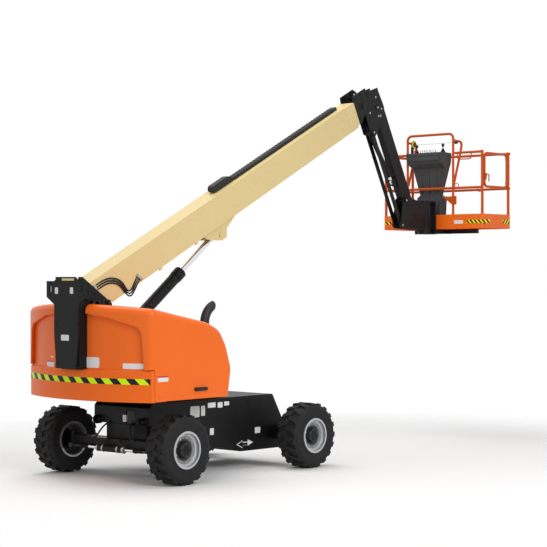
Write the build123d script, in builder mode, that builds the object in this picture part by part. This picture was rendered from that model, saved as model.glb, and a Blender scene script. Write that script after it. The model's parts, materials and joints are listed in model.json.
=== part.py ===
from build123d import *
from math import atan2, cos, degrees, hypot, radians, sin, sqrt, tan
import os

# A self-propelled telescopic boom lift with a jib and a work platform.
# Millimetres, +X to the front, +Y to the left, +Z up, ground at Z = 0.
# While modelling, X = 0 is the slew axis, midway between the axles; the
# finished pieces are then moved back so that X = 0 is the middle of the machine.

# Overall layout
wheelbase = 2340
overall_width = 2310
slew_height = 930
overrun = 20
plate = 12
thin_plate = 6
pin_gap = 1
weld_gap = 0.3
running_gap = 8

# Tyres and rims
tyre_radius = 419
tyre_width = 306
tread_width = 262
tread_depth = 26
sidewall_bulge_radius = 352
rim_radius = 210
rim_flange_radius = 224
rim_flange_width = 16
rim_wall = 9
rim_step_radius = 188
dish_depth = 74
lug_count = 19
lug_root_width = 62
lug_lean = 62
lug_centre_overlap = 14
hub_radius = 98
hub_cap_radius = 84
hub_length = 150
hub_flange_radius = 128
hub_flange_thickness = 16

# Axles and steering
axle_box_height = 170
axle_box_length = 190
axle_drop = 14
steer_beam_height = 130
steer_beam_length = 210
kingpin_inset = 300
kingpin_boss_radius = 52
yoke_gap = 150
yoke_arm = 34
steer_arm_inset = 120
steer_cylinder_radius = 42
steer_cylinder_length = 430
steer_rod_radius = 19
steer_rod_eye_radius = 30
steer_rod_eye_height = 50
motor_radius = 88
motor_length = 150

# Chassis box: side outline from the rear plate to the front nose
chassis_half_width = 490
chassis_back = -1150
chassis_shoulder = 60
chassis_top_front = 1085
chassis_slope_front = 1300
chassis_nose_height = 560
chassis_nose_front = 1320
chassis_belly = 225
chassis_belly_back = 310
chassis_belly_low_x = 470
chassis_belly_step_x = 90
chassis_rear_step = 660
chassis_rear_pocket = 130
recess_width = 170
recess_height = 260
recess_depth = 30
tie_down_radius = 22
tie_down_lug = 55
tie_down_plate = 22
tie_down_y = 390
tie_down_z = 700
tie_down_front_z = 330
chassis_nose_low = 220

# Slew bearing
bearing_radius = 390
bearing_inner = 300
bearing_ring = 34

# Turntable
deck_bottom = 1000
deck_thickness = 30
deck_nose_radius = 520
deck_half_width = 985
deck_back = -1440
deck_wing_front = -420
upright_inner = 190
upright_plate = 25
upright_back = -2046
upright_face = 22
upright_top = 2462
upright_rear_edge = 70
hinge_radius = 14
hinge_x = (-1785, -1635)
hinge_span = 52
hinge_leaf = 38
upright_low = 1376
upright_body_half = 215
upright_foot_half = 178
upright_ear_half = 352
upright_ear_low = 2222
upright_ear_high = 2412
upright_crown_half = 152
ear_slot_width = 30
ear_slot_height = 90
pivot_x = -1900
pivot_z = 2225
pivot_pin_radius = 46
pivot_boss_radius = 78

# Counterweight and covers: plan arc and heights
counterweight_top = 1372
counterweight_back = -1952
counterweight_corner_x = -1672
counterweight_half = 1088
counterweight_step_half = 1060
counterweight_front = -1440
counterweight_edge = 26
counterweight_fillet = 40
counterweight_pocket_half = 120
counterweight_pocket_depth = 190
counterweight_pocket_height = 250
cover_wall = 8
cover_inset = 52
cover_edge = 1010
cover_top = 2035
hood_half = 1090
hood_rear = -1975
hood_corner_x = -1690
hood_bottom = 1010
hood_inner = 245
hood_wall = 9
hood_lip_depth = 44
hood_post_depth = 64
hood_fillet = 80
hood_bend = 250
hood_corner_fillet = 110
hood_step_height = 62
hood_step_depth = 4
hood_roof = ((-2060, 2176), (-731, 1918))
hood_front = ((-522, 1829), (-405, 1644), (-308, 1350), (-362, 1010))
lip_line = ((180, 2040), (560, 1990), (975, 1868), (1008, 1372))
lip_fillet = 120
side_seam_x = -1640
hinge_rise = 2176
handle_x = -887
handle_z = 1125
handle_length = 200
handle_height = 34
handle_depth = 26

# Machinery under the hoods
engine_length = 780
engine_width = 520
engine_height = 560
engine_x = -1010
engine_y = -640
tank_length = 900
tank_width = 420
tank_height = 520
tank_x = -980
tank_y = 690
tank_rounding = 45
exhaust_x = -130
exhaust_y = -430
exhaust_radius = 62
exhaust_pipe_radius = 58
exhaust_wall = 4
exhaust_top = 2044
exhaust_horn_height = 86
exhaust_horn_reach = 235
exhaust_bend = 238
exhaust_cut_reach = 142

# Boom
boom_angle = 26.98
boom_width = 300
boom_top = 104
boom_height = 375
boom_wall = 9
boom_tail = 75
boom_length = 5728
boom_nose_cut_length = 205
boom_nose_cut_drop = 84
fly_width = 254
fly_height = 326
fly_wall = 8
fly_front = 5800
fly_length = 5350
pad_length = 130
nose_plate = 16
nose_half = 118
nose_low = -262
nose_step = 184
nose_high = 162
nose_front = 6150
nose_pivot = (3470, 4900)
lifting_eye = (6000, 136)
lifting_eye_radius = 58
lifting_bore_radius = 34
lifting_eye_thickness = 24
nose_bridge = 44

# Lift cylinder
lift_base = (-1500, 1464)
lift_eye = (500, 3006)
lift_barrel_radius = 74
lift_barrel_length = 1730
lift_gland_length = 110
lift_gland_radius = 82
lift_rod_radius = 40
lift_eye_radius = 62
lift_pin_radius = 28
lift_eye_half = 60
lift_foot_half = 84
lift_rod_length = 1780
bracket_inner = 88
bracket_back = 2184
bracket_front = 2925
bracket_drop = 204
bracket_plate = 18

# Hose track on the boom's top
track_width = 100
track_start = 2690
track_end = 5500
track_height = 42
track_loop = 96
track_loop_end = 3120

# Jib: a parallel linkage from the level bracket to the platform support
jib_angle = -62.5
jib_pins = 1494
jib_root = (3846, 4912)
link_root = (3760, 4545)
jib_width = 104
jib_depth = 204
jib_wall = 7
jib_back = 32
jib_head_rise = 60
head_top_outline = ((3616, 5009), (3655, 5133), (3852, 5202), (3874, 5155))
head_front_outline = ((4012, 4935), (4024, 4789), (3884, 4600))
jib_head_plate = 10
link_inner = 46
link_bar = 12
link_depth = 70
jib_pin_radius = 22
jib_cylinder_radius = 35
jib_cylinder_length = 775
jib_rod_radius = 20
jib_eye_half = 22
jib_rod_length = 778
jib_lug_pin_radius = 17
jib_lug_plate = 12
jib_lug_along = 1150
jib_lug_off = 60
bracket_half = 74
lug_edge = 52
support_half = 78
support_plate = 14
support_edge = 50

# Rotator and platform
rotator_x = 5090
rotator_radius = 92
rotator_low = 3095
rotator_high = 3600
rotator_flange = 20
platform_back = 5300
platform_depth = 745
platform_half = 925
platform_low = 3178
toe_height = 215
floor_thickness = 6
floor_rise = 60
toe_wall = 5
rail_radius = 19
rail_top = 4318
rail_mid = 3790
post_radius = 21
rail_stub = 27
guard_bend = 75
guard_loop = ((5560, 4500), (5515, 4330), (5345, 3850))
guard_loop_start = 4588
loop_bend = 52
grab_radius = 9
grab_y = (-448, -700)
grab_low = 4220
grab_bend = 34
guard_top = 4612
guard_half_left = 480
guard_half_right = 372
gate_gap = 14
gate_bend = 70
gate_low = 3800
gate_high = 4300
beam_size = 66
console_centre_y = 107
console_rounding = 26
console_sections = {
    "floor": (3238.3, 5372, 5520, 215),
    "base top": (3660, 5372, 5520, 240),
    "neck": (3700, 5372, 5500, 181),
    "shoulder": (4100, 5352, 5500, 300),
    "tray": (4180, 5235, 5500, 328),
    "rim": (4310, 5215, 5500, 338),
}
console_lid = 25

centre_x = (upright_back + platform_back + platform_depth) / 2
tyre_centre_y = (overall_width - tyre_width) / 2
axle_x = {"front": wheelbase / 2, "rear": -wheelbase / 2}
side_sign = {"left": 1, "right": -1}
pieces = {}


def keep(name, part):
    """Move a finished piece back from the slew axis to the middle and keep it."""
    pieces[name] = part.moved(Location((-centre_x, 0, 0)))


def side_plane(y):
    """A plane seen from the right-hand side: local x is X, local y is Z."""
    return Plane(origin=(0, y, 0), x_dir=(1, 0, 0), z_dir=(0, -1, 0))


def boom_plane(y=0):
    """The boom's own plane: local x runs out along it from the pivot pin."""
    lean = radians(boom_angle)
    return Plane(origin=(pivot_x, y, pivot_z), x_dir=(cos(lean), 0, sin(lean)), z_dir=(0, -1, 0))


def line_plane(start, end, y=0):
    """A side plane whose local x runs from one point to another."""
    return Plane(origin=(start[0], y, start[1]),
                 x_dir=(end[0] - start[0], 0, end[1] - start[1]), z_dir=(0, -1, 0))


def rear_plane(x):
    """A plane seen from behind: local x runs to the right, local y is Z."""
    return Plane(origin=(x, 0, 0), x_dir=(0, -1, 0), z_dir=(-1, 0, 0))


def length_of(start, end):
    return hypot(end[0] - start[0], end[1] - start[1])


def tube(points, radius, bend):
    """A round bar along a line of points, bent at each with one radius."""
    with BuildPart() as bar:
        with BuildLine() as way:
            if len(points) > 2:
                FilletPolyline(*points, radius=bend)
            else:
                Line(*points)
        with BuildSketch(Plane(origin=way.line @ 0, z_dir=way.line % 0)):
            Circle(radius)
        sweep()
    return bar.part


def jib_point(start, along, off=0):
    """A point at a distance along the jib from a pin, and off towards its front."""
    lean = radians(jib_angle)
    return (start[0] + along * cos(lean) - off * sin(lean),
            start[1] + along * sin(lean) + off * cos(lean))


# Tyre: one carcass turned from a section, with slanted traction lugs on it
tread_base_radius = tyre_radius - tread_depth
bead_y = tyre_width / 2 - rim_flange_width - weld_gap
tyre_section = [
    (rim_radius, -bead_y),
    (rim_flange_radius + weld_gap, -bead_y),
    (sidewall_bulge_radius, -tyre_width / 2),
    (tread_base_radius, -tread_width / 2),
    (tread_base_radius, tread_width / 2),
    (sidewall_bulge_radius, tyre_width / 2),
    (rim_flange_radius + weld_gap, bead_y),
    (rim_radius, bead_y),
]
lug_corner = (lug_root_width + lug_lean) / 2
lug_flat = sqrt(tyre_radius ** 2 - lug_corner ** 2)
lug_stand = degrees(atan2(lug_corner, lug_flat))
with BuildPart() as lug:
    with BuildSketch(Plane.XY.offset(tread_base_radius - tread_depth / 2)):
        with BuildLine():
            Polyline(
                (-lug_corner, -lug_centre_overlap),
                (lug_root_width - lug_corner, -lug_centre_overlap),
                (lug_corner, tread_width / 2),
                (lug_corner - lug_root_width, tread_width / 2),
                close=True,
            )
        make_face()
    extrude(amount=lug_flat - tread_base_radius + tread_depth / 2)

with BuildPart() as tyre:
    with BuildSketch(Plane.XY):
        with BuildLine():
            Polyline(*tyre_section, close=True)
        make_face()
    revolve(axis=Axis.Y)
    for turn in range(lug_count):
        angle = 180 + lug_stand + 360 / lug_count * turn
        add(lug.part.rotate(Axis.Y, angle))
        mirrored_lug = lug.part.mirror(Plane.XZ).rotate(Axis.Y, angle + 180 / lug_count)
        add(mirrored_lug)

# Rim: a drop-centre ring, its dish, and the hub with its cap
with BuildPart() as rim:
    with BuildSketch(Plane.XY):
        with BuildLine():
            Polyline(
                (rim_flange_radius, tyre_width / 2),
                (rim_flange_radius, tyre_width / 2 - rim_flange_width),
                (rim_radius - weld_gap, tyre_width / 2 - rim_flange_width),
                (rim_radius - weld_gap, -tyre_width / 2 + rim_flange_width),
                (rim_flange_radius, -tyre_width / 2 + rim_flange_width),
                (rim_flange_radius, -tyre_width / 2),
                (rim_radius - rim_wall, -tyre_width / 2),
                (rim_step_radius, -tyre_width / 2 + dish_depth / 2),
                (rim_step_radius, tyre_width / 2 - dish_depth),
                (hub_radius, tyre_width / 2 - dish_depth),
                (hub_radius, tyre_width / 2 - dish_depth + rim_wall),
                (rim_step_radius + rim_wall, tyre_width / 2 - dish_depth / 2),
                (rim_radius - rim_wall, tyre_width / 2),
                close=True,
            )
        make_face()
    revolve(axis=Axis.Y)
    with BuildSketch(Plane.XY):
        with BuildLine():
            Polyline(
                (0, tyre_width / 2 - dish_depth - hub_length / 2),
                (hub_flange_radius, tyre_width / 2 - dish_depth - hub_length / 2),
                (hub_flange_radius, tyre_width / 2 - dish_depth),
                (hub_radius, tyre_width / 2 - dish_depth),
                (hub_radius, tyre_width / 2 - dish_depth + hub_flange_thickness),
                (hub_cap_radius, tyre_width / 2 - dish_depth + hub_length / 3),
                (0, tyre_width / 2 - dish_depth + hub_length / 3),
                close=True,
            )
        make_face()
    revolve(axis=Axis.Y)

for end, wheel_x in axle_x.items():
    for side, sign in side_sign.items():
        place = Location((wheel_x, sign * tyre_centre_y, tyre_radius))
        turned = 0 if sign > 0 else 180
        keep(f"tyre_{end}_{side}", tyre.part.rotate(Axis.Z, turned).moved(place))
        keep(f"rim_{end}_{side}", rim.part.rotate(Axis.Z, turned).moved(place))

# Chassis box, with a stepped belly, sloping nose, recessed rear panel and tie-down lugs
with BuildPart() as chassis:
    with BuildSketch(side_plane(0)):
        with BuildLine():
            Polyline(
                (chassis_back, slew_height - chassis_shoulder),
                (chassis_back + chassis_shoulder, slew_height),
                (chassis_top_front, slew_height),
                (chassis_slope_front, chassis_nose_height),
                (chassis_nose_front, chassis_nose_height),
                (chassis_nose_front, chassis_nose_low),
                (chassis_belly_low_x, chassis_belly),
                (chassis_belly_step_x, chassis_belly_back),
                (chassis_back + chassis_rear_pocket * 4, chassis_belly_back),
                (chassis_back + chassis_rear_pocket * 4, chassis_rear_step),
                (chassis_back, chassis_rear_step),
                close=True,
            )
        make_face()
    extrude(amount=chassis_half_width, both=True)
    long_edges = chassis.edges().filter_by(Axis.Y).filter_by(lambda edge: edge.center().Z > chassis_rear_step)
    fillet(long_edges, overrun)
    with Locations((axle_x["front"], 0, tyre_radius + axle_drop)):
        Box(axle_box_length + 2 * weld_gap, 3 * chassis_half_width, axle_box_height + 2 * weld_gap,
            mode=Mode.SUBTRACT)
    with Locations((chassis_back, -recess_width, slew_height - chassis_shoulder - recess_height / 2)):
        Box(2 * recess_depth, recess_width, recess_height - chassis_shoulder, mode=Mode.SUBTRACT)
    for sign in (-1, 1):
        with BuildSketch(side_plane(sign * tie_down_y)):
            with Locations((chassis_back - tie_down_lug / 2, tie_down_z),
                           (chassis_nose_front + tie_down_lug / 2, tie_down_front_z)):
                SlotOverall(tie_down_lug * 3, tie_down_lug * 2)
                Circle(tie_down_radius, mode=Mode.SUBTRACT)
        extrude(amount=tie_down_plate / 2, both=True)
    tie_down_places = (
        (chassis_back - tie_down_lug / 2, 0, tie_down_z),
        (chassis_nose_front + tie_down_lug / 2, 0, tie_down_front_z),
    )
    with Locations(*tie_down_places):
        Cylinder(tie_down_radius, chassis_half_width * 2, rotation=(90, 0, 0), mode=Mode.SUBTRACT)
keep("chassis_frame", chassis.part)

# Front axle: a fixed box beam with a motor housing towards each wheel
wheel_inner = tyre_centre_y + tyre_width / 2 - dish_depth - hub_length / 2
with BuildPart() as front_axle:
    with Locations((axle_x["front"], 0, tyre_radius + axle_drop)):
        Box(axle_box_length, 2 * (wheel_inner - motor_length), axle_box_height)
    for sign in (-1, 1):
        with BuildSketch(Plane.XZ.offset(-sign * (wheel_inner - motor_length))):
            with Locations((axle_x["front"], tyre_radius)):
                Circle(motor_radius)
        extrude(amount=-sign * (motor_length - weld_gap))
keep("front_axle", front_axle.part)

# Rear steering axle: a beam across under the rear, with the steering cylinder behind it
kingpin_y = tyre_centre_y + tyre_width / 2 - kingpin_inset
steer_cylinder_x = axle_x["rear"] - steer_beam_length / 2 - steer_cylinder_radius - thin_plate
steer_level = tyre_radius - yoke_gap / 2 + weld_gap + steer_rod_eye_height / 2
rod_half = kingpin_y - steer_arm_inset
with BuildPart() as rear_axle:
    with Locations((axle_x["rear"], 0, tyre_radius)):
        Box(steer_beam_length, 2 * (kingpin_y - kingpin_boss_radius * 2), steer_beam_height)
    with Locations((axle_x["rear"] + steer_beam_length / 2, 0, (tyre_radius + chassis_rear_step) / 2)):
        Box(steer_beam_length, chassis_half_width, chassis_rear_step - tyre_radius - weld_gap * 2)
    for sign in (-1, 1):
        with Locations((axle_x["rear"], sign * kingpin_y, tyre_radius)):
            Cylinder(kingpin_boss_radius, yoke_gap - 2 * weld_gap)
        with Locations((axle_x["rear"], sign * (kingpin_y - kingpin_boss_radius), tyre_radius)):
            Box(kingpin_boss_radius, kingpin_boss_radius * 2, steer_beam_height)
        foot_x = axle_x["rear"] - steer_beam_length / 2
        with Locations((foot_x, sign * steer_cylinder_length / 3, steer_level)):
            Box(steer_cylinder_radius * 2, steer_cylinder_radius, steer_cylinder_radius)
    with Locations((steer_cylinder_x, 0, steer_level)):
        Cylinder(steer_cylinder_radius, steer_cylinder_length, rotation=(90, 0, 0))
        Cylinder(steer_rod_radius + pin_gap / 2, steer_cylinder_length * 2, rotation=(90, 0, 0),
                 mode=Mode.SUBTRACT)
keep("rear_axle", rear_axle.part)

# Knuckles: a yoke round each kingpin boss, its motor and its steering arm
for side, sign in side_sign.items():
    with BuildPart() as knuckle:
        for level in (-1, 1):
            arm_low = tyre_radius + level * (yoke_gap / 2 + yoke_arm / 2) - yoke_arm / 2
            with BuildSketch(Plane.XY.offset(arm_low)):
                with Locations((axle_x["rear"], sign * kingpin_y)):
                    Circle(kingpin_boss_radius)
                with Locations((axle_x["rear"], sign * (kingpin_y + kingpin_boss_radius * 3 / 4))):
                    Rectangle(kingpin_boss_radius * 2, kingpin_boss_radius * 3 / 2)
            extrude(amount=yoke_arm)
        with Locations((axle_x["rear"], sign * (kingpin_y + kingpin_boss_radius * 3 / 2), tyre_radius)):
            Box(kingpin_boss_radius * 2, yoke_arm, yoke_gap + yoke_arm * 2)
        with BuildSketch(Plane.XZ.offset(-sign * (kingpin_y + kingpin_boss_radius * 3 / 2))):
            with Locations((axle_x["rear"], tyre_radius)):
                Circle(motor_radius)
        extrude(amount=-sign * (wheel_inner - weld_gap - kingpin_y - kingpin_boss_radius * 3 / 2))
        with BuildSketch(Plane.XY.offset(tyre_radius - yoke_gap / 2 - yoke_arm)):
            with BuildLine():
                Polyline(
                    (axle_x["rear"] + kingpin_boss_radius, sign * kingpin_y),
                    (axle_x["rear"] - kingpin_boss_radius, sign * kingpin_y),
                    (steer_cylinder_x - steer_rod_eye_radius, sign * (rod_half + steer_rod_eye_radius)),
                    (steer_cylinder_x - steer_rod_eye_radius, sign * (rod_half - steer_rod_eye_radius)),
                    (steer_cylinder_x + steer_rod_eye_radius, sign * (rod_half - steer_rod_eye_radius)),
                    close=True,
                )
            make_face()
        extrude(amount=yoke_arm)
    keep(f"knuckle_{side}", knuckle.part)

# Steering rod through its cylinder, with an eye over each knuckle's arm
with BuildPart() as steer_rod:
    with Locations((steer_cylinder_x, 0, steer_level)):
        Cylinder(steer_rod_radius, 2 * rod_half, rotation=(90, 0, 0))
    for sign in (-1, 1):
        with Locations((steer_cylinder_x, sign * rod_half, steer_level)):
            Cylinder(steer_rod_eye_radius, steer_rod_eye_height)
keep("steer_rod", steer_rod.part)

# Slew bearing: the lower ring stays on the chassis
with BuildPart() as slew_ring:
    with BuildSketch(Plane.XY.offset(slew_height + weld_gap)):
        Circle(bearing_radius)
        Circle(bearing_inner, mode=Mode.SUBTRACT)
    extrude(amount=bearing_ring)
keep("slew_ring", slew_ring.part)

# Turntable deck with the upper bearing ring under it
with BuildPart() as deck:
    with BuildSketch(Plane.XY.offset(deck_bottom)):
        Circle(deck_nose_radius)
        with BuildLine():
            Polyline(
                (0, deck_nose_radius),
                (deck_wing_front, deck_half_width),
                (deck_back, deck_half_width),
                (deck_back, -deck_half_width),
                (deck_wing_front, -deck_half_width),
                (0, -deck_nose_radius),
                close=True,
            )
        make_face()
    extrude(amount=deck_thickness)
    with BuildSketch(Plane.XY.offset(slew_height + bearing_ring + weld_gap * 2)):
        Circle(bearing_radius)
        Circle(bearing_inner, mode=Mode.SUBTRACT)
    extrude(until=Until.NEXT)
keep("turntable_deck", deck.part)

# Upright: two side plates that hold the boom's pin, and the shaped rear plate
deck_top = deck_bottom + deck_thickness
with BuildPart() as upright:
    for sign in (-1, 1):
        with BuildSketch(side_plane(sign * (upright_inner + upright_plate / 2))):
            with BuildLine():
                Polyline(
                    (upright_back + upright_face, upright_low),
                    (upright_back + upright_face, upright_top),
                    (pivot_x - pivot_boss_radius, upright_top),
                    (pivot_x + pivot_boss_radius * 5, pivot_z - pivot_boss_radius),
                    (lift_base[0] + pivot_boss_radius * 2, lift_base[1] + pivot_boss_radius),
                    (pivot_boss_radius, deck_top + plate),
                    (pivot_boss_radius, deck_top + weld_gap),
                    (deck_back + overrun, deck_top + weld_gap),
                    (deck_back + overrun, upright_low),
                    close=True,
                )
            make_face()
        extrude(amount=upright_plate / 2, both=True)
    with BuildSketch(rear_plane(upright_back)):
        half_outline = [
            (0, upright_low),
            (upright_foot_half, upright_low),
            (upright_body_half, (upright_low + upright_ear_low) / 2),
            (upright_body_half, upright_ear_low - ear_slot_height),
            (upright_ear_half, upright_ear_low),
            (upright_ear_half, upright_ear_high),
            (upright_body_half, upright_ear_high),
            (upright_crown_half, upright_top),
            (0, upright_top),
        ]
        with BuildLine():
            Polyline(*half_outline, close=True)
        make_face()
        mirror(about=Plane.YZ)
        for sign in (-1, 1):
            slot_y = (upright_ear_half + upright_body_half) / 2
            with Locations((sign * slot_y, (upright_ear_low + upright_ear_high) / 2)):
                SlotOverall(ear_slot_height, ear_slot_width, rotation=90, mode=Mode.SUBTRACT)
    extrude(amount=-upright_face)
    with Locations((pivot_x, 0, pivot_z)):
        Cylinder(pivot_pin_radius, 2 * upright_inner + 4 * upright_plate, rotation=(90, 0, 0))
    for sign in (-1, 1):
        stub = upright_inner + upright_plate * 3 / 2 - lift_foot_half - weld_gap
        with Locations((lift_base[0], sign * (lift_foot_half + weld_gap + stub / 2), lift_base[1])):
            Cylinder(lift_pin_radius, stub, rotation=(90, 0, 0))
        for x in hinge_x:
            with Locations((x, sign * hood_inner, hinge_rise)):
                Cylinder(hinge_radius, hinge_span, rotation=(0, 90, 0))
            with Locations((x, sign * (hood_inner + upright_inner) / 2, hinge_rise)):
                Box(hinge_span, hood_inner - upright_inner, hinge_radius * 2)
keep("upright", upright.part)


def rear_arc_radius(back, corner_x, half):
    """Radius of the shallow plan arc through the rear middle and both corners."""
    rise = corner_x - back
    return (half ** 2 + rise ** 2) / (2 * rise)


# Counterweight: a cast block with a curved back under the covers
with BuildPart() as counterweight:
    with BuildSketch(Plane.XY.offset(deck_bottom)):
        with BuildLine():
            ThreePointArc(
                (counterweight_corner_x, -counterweight_half),
                (counterweight_back, 0),
                (counterweight_corner_x, counterweight_half),
            )
            seam_x = side_seam_x - thin_plate
            Polyline(
                (counterweight_corner_x, counterweight_half),
                (seam_x, counterweight_half),
                (seam_x, counterweight_step_half),
                (counterweight_front - weld_gap, counterweight_step_half),
                (counterweight_front - weld_gap, -counterweight_step_half),
                (seam_x, -counterweight_step_half),
                (seam_x, -counterweight_half),
                (counterweight_corner_x, -counterweight_half),
            )
        make_face()
    extrude(amount=counterweight_top - deck_bottom)
    corners = counterweight.edges().filter_by(Axis.Z).group_by(Axis.X)[0]
    fillet(corners, counterweight_fillet)
    top_edges = counterweight.faces().sort_by(Axis.Z)[-1].edges()
    round_edges = top_edges - top_edges.filter_by(Axis.Y)
    rim_edges = round_edges.filter_by(lambda edge: edge.center().X < side_seam_x)
    chamfer(rim_edges, counterweight_edge / 2)
    pocket_back = counterweight_front - counterweight_pocket_depth
    pocket_floor = counterweight_top - counterweight_pocket_height
    with Locations((pocket_back, 0, pocket_floor)):
        Box(counterweight_pocket_depth + overrun, 2 * counterweight_pocket_half,
            counterweight_pocket_height + overrun,
            align=(Align.MIN, Align.CENTER, Align.MIN), mode=Mode.SUBTRACT)
keep("counterweight", counterweight.part)

# Rear covers: the recessed rear panels, one each side of the upright
for side, sign in side_sign.items():
    back = hood_rear + cover_inset
    corner = hood_corner_x + cover_inset
    radius = rear_arc_radius(back, corner, hood_half)
    centre = back + radius
    inner_y = upright_inner + upright_plate + running_gap
    middle_y = (inner_y + cover_edge) / 2
    inner_x = centre - sqrt(radius ** 2 - inner_y ** 2)
    middle_x = centre - sqrt(radius ** 2 - middle_y ** 2)
    outer_x = centre - sqrt(radius ** 2 - cover_edge ** 2)
    with BuildPart() as cover:
        with BuildSketch(Plane.XY.offset(counterweight_top + weld_gap)):
            with BuildLine():
                ThreePointArc(
                    (inner_x, sign * inner_y),
                    (middle_x, sign * middle_y),
                    (outer_x, sign * cover_edge),
                )
                Line((outer_x, sign * cover_edge), (outer_x + cover_wall, sign * cover_edge))
                ThreePointArc(
                    (outer_x + cover_wall, sign * cover_edge),
                    (middle_x + cover_wall, sign * middle_y),
                    (inner_x + cover_wall, sign * inner_y),
                )
                Line((inner_x + cover_wall, sign * inner_y), (inner_x, sign * inner_y))
            make_face()
        extrude(amount=cover_top - counterweight_top)
        with BuildSketch(rear_plane(hood_rear * 2)):
            with BuildLine():
                Polyline(
                    (-sign * hood_inner, hinge_rise),
                    (-sign * (hood_inner + hood_half) / 2, cover_top),
                    (-sign * hood_half, lip_line[2][1] + overrun),
                    (-sign * hood_half, hinge_rise),
                    close=True,
                )
            make_face()
        extrude(amount=hood_rear * 2, mode=Mode.SUBTRACT)
    keep(f"rear_cover_{side}", cover.part)


def hood_block(inset, rear_inset, sign):
    """One hood's outer shape, drawn in from its skin by a wall and from its rear by another."""
    grown = overrun if inset else 0
    half = hood_half - inset
    back = hood_rear + rear_inset
    corner = hood_corner_x + rear_inset
    radius = rear_arc_radius(back, corner, hood_half)
    centre = back + radius
    inner_y = hood_inner - grown
    inner_x = centre - sqrt(radius ** 2 - inner_y ** 2)
    middle_y = (inner_y + half) / 2
    middle_x = centre - sqrt(radius ** 2 - middle_y ** 2)
    corner_x = centre - sqrt(radius ** 2 - half ** 2)
    with BuildPart() as block:
        with BuildSketch(Plane.XY.offset(hood_bottom - grown)):
            with BuildLine():
                ThreePointArc((inner_x, sign * inner_y), (middle_x, sign * middle_y), (corner_x, sign * half))
                Polyline(
                    (corner_x, sign * half),
                    (0, sign * half),
                    (0, sign * inner_y),
                    (inner_x, sign * inner_y),
                )
            make_face()
        extrude(amount=hinge_rise)
        upright_edges = block.edges().filter_by(Axis.Z)
        corner_edge = upright_edges.sort_by_distance((corner_x, sign * half, hood_bottom))[0]
        fillet(corner_edge, hood_corner_fillet)
        roof = [(x, z - inset) for x, z in hood_roof]
        front = [(x - inset, z) for x, z in hood_front[:-1]]
        foot = (hood_front[-1][0] - inset, hood_bottom - grown)
        tail = (hood_roof[0][0], hood_bottom - grown)
        with BuildSketch(side_plane(0)):
            with BuildLine():
                bend = FilletPolyline(roof[0], roof[1], *front, foot, radius=hood_bend)
                Polyline(bend @ 1, tail, roof[0])
            make_face()
        extrude(amount=hood_half * 2, both=True, mode=Mode.INTERSECT)
        crown = (block.edges() - block.edges().filter_by(Axis.Z)).filter_by(
            lambda edge: edge.center().Z > hood_bottom + overrun
            and abs(edge.center().Y) > hood_inner + overrun * 2
            and (abs(abs(edge.center().Y) - half) < pin_gap
                 or edge.center().X < corner_x + hood_corner_fillet * 2))
        fillet(crown, hood_fillet - inset)
    return block.part


# Side hoods: one moulding each of side, roof, front and the lip over the rear panel
for side, sign in side_sign.items():
    outer = hood_block(0, 0, sign)
    inner = hood_block(hood_wall, hood_lip_depth, sign)
    with BuildPart() as hood:
        add(outer)
        add(inner, mode=Mode.SUBTRACT)
        with BuildSketch(rear_plane(hood_rear * 2)):
            with BuildLine():
                opening = [(-sign * y, z) for y, z in lip_line]
                bend = FilletPolyline(*opening, radius=lip_fillet)
                low = counterweight_top - overrun
                Polyline(bend @ 1, (opening[-1][0], low), (opening[0][0], low), opening[0])
            make_face()
        extrude(amount=2 * hood_rear - hood_corner_x - hood_post_depth * 2, mode=Mode.SUBTRACT)
        with Locations((2 * side_seam_x, 0, hood_bottom)):
            Box(-2 * side_seam_x, hood_half * 3, 2 * (counterweight_top + running_gap - hood_bottom),
                mode=Mode.SUBTRACT)
        with Locations((0, sign * (hood_half + overrun - hood_step_depth), hood_bottom)):
            Box(hood_half * 4, 2 * overrun, 2 * hood_step_height, mode=Mode.SUBTRACT)
        with Locations((0, 0, hood_bottom)):
            Box(hood_half * 4, 2 * (deck_half_width + running_gap), 2 * (deck_top + weld_gap - hood_bottom),
                mode=Mode.SUBTRACT)
        roof_slope = (hood_roof[0][1] - hood_roof[1][1]) / (hood_roof[1][0] - hood_roof[0][0])
        for x in hinge_x:
            for reach in (-1, 1):
                leaf_x = x + reach * (hinge_span + hinge_leaf + overrun / 4) / 2
                leaf_drop = (leaf_x - hood_roof[0][0]) * roof_slope + hood_wall / 2 + hinge_radius / 2
                with Locations((leaf_x, sign * hood_inner, hinge_rise)):
                    Cylinder(hinge_radius, hinge_leaf, rotation=(0, 90, 0))
                with Locations((leaf_x, sign * (hood_inner + hinge_radius / 2), hinge_rise - leaf_drop / 2)):
                    Box(hinge_leaf, hinge_radius, leaf_drop)
        with Locations((handle_x, sign * (hood_half + handle_depth / 2), handle_z)):
            Box(handle_length, handle_depth + 2 * pin_gap, handle_height)
    keep(f"hood_{side}", hood.part)

# Engine block, tank and exhaust
with BuildPart() as engine:
    with Locations((engine_x, engine_y, deck_top + weld_gap + engine_height / 2)):
        Box(engine_length, engine_width, engine_height)
keep("engine", engine.part)
with BuildPart() as tank:
    with Locations((tank_x, tank_y, deck_top + weld_gap + tank_height / 2)):
        Box(tank_length, tank_width, tank_height)
    fillet(tank.edges().filter_by(Axis.Z) + tank.faces().sort_by(Axis.Z)[-1].edges(), tank_rounding)
keep("fuel_tank", tank.part)
exhaust_bends = (
    (exhaust_x, exhaust_y, exhaust_top),
    (exhaust_x + exhaust_horn_reach, exhaust_y, exhaust_top + exhaust_horn_height),
)
horn_foot = (exhaust_x, exhaust_y, deck_top + weld_gap)
bore_foot = (exhaust_x, exhaust_y, exhaust_top - exhaust_bend)
horn = tube([horn_foot, *exhaust_bends], exhaust_pipe_radius, exhaust_bend)
bore = tube([bore_foot, *exhaust_bends], exhaust_pipe_radius - exhaust_wall, exhaust_bend)
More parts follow.
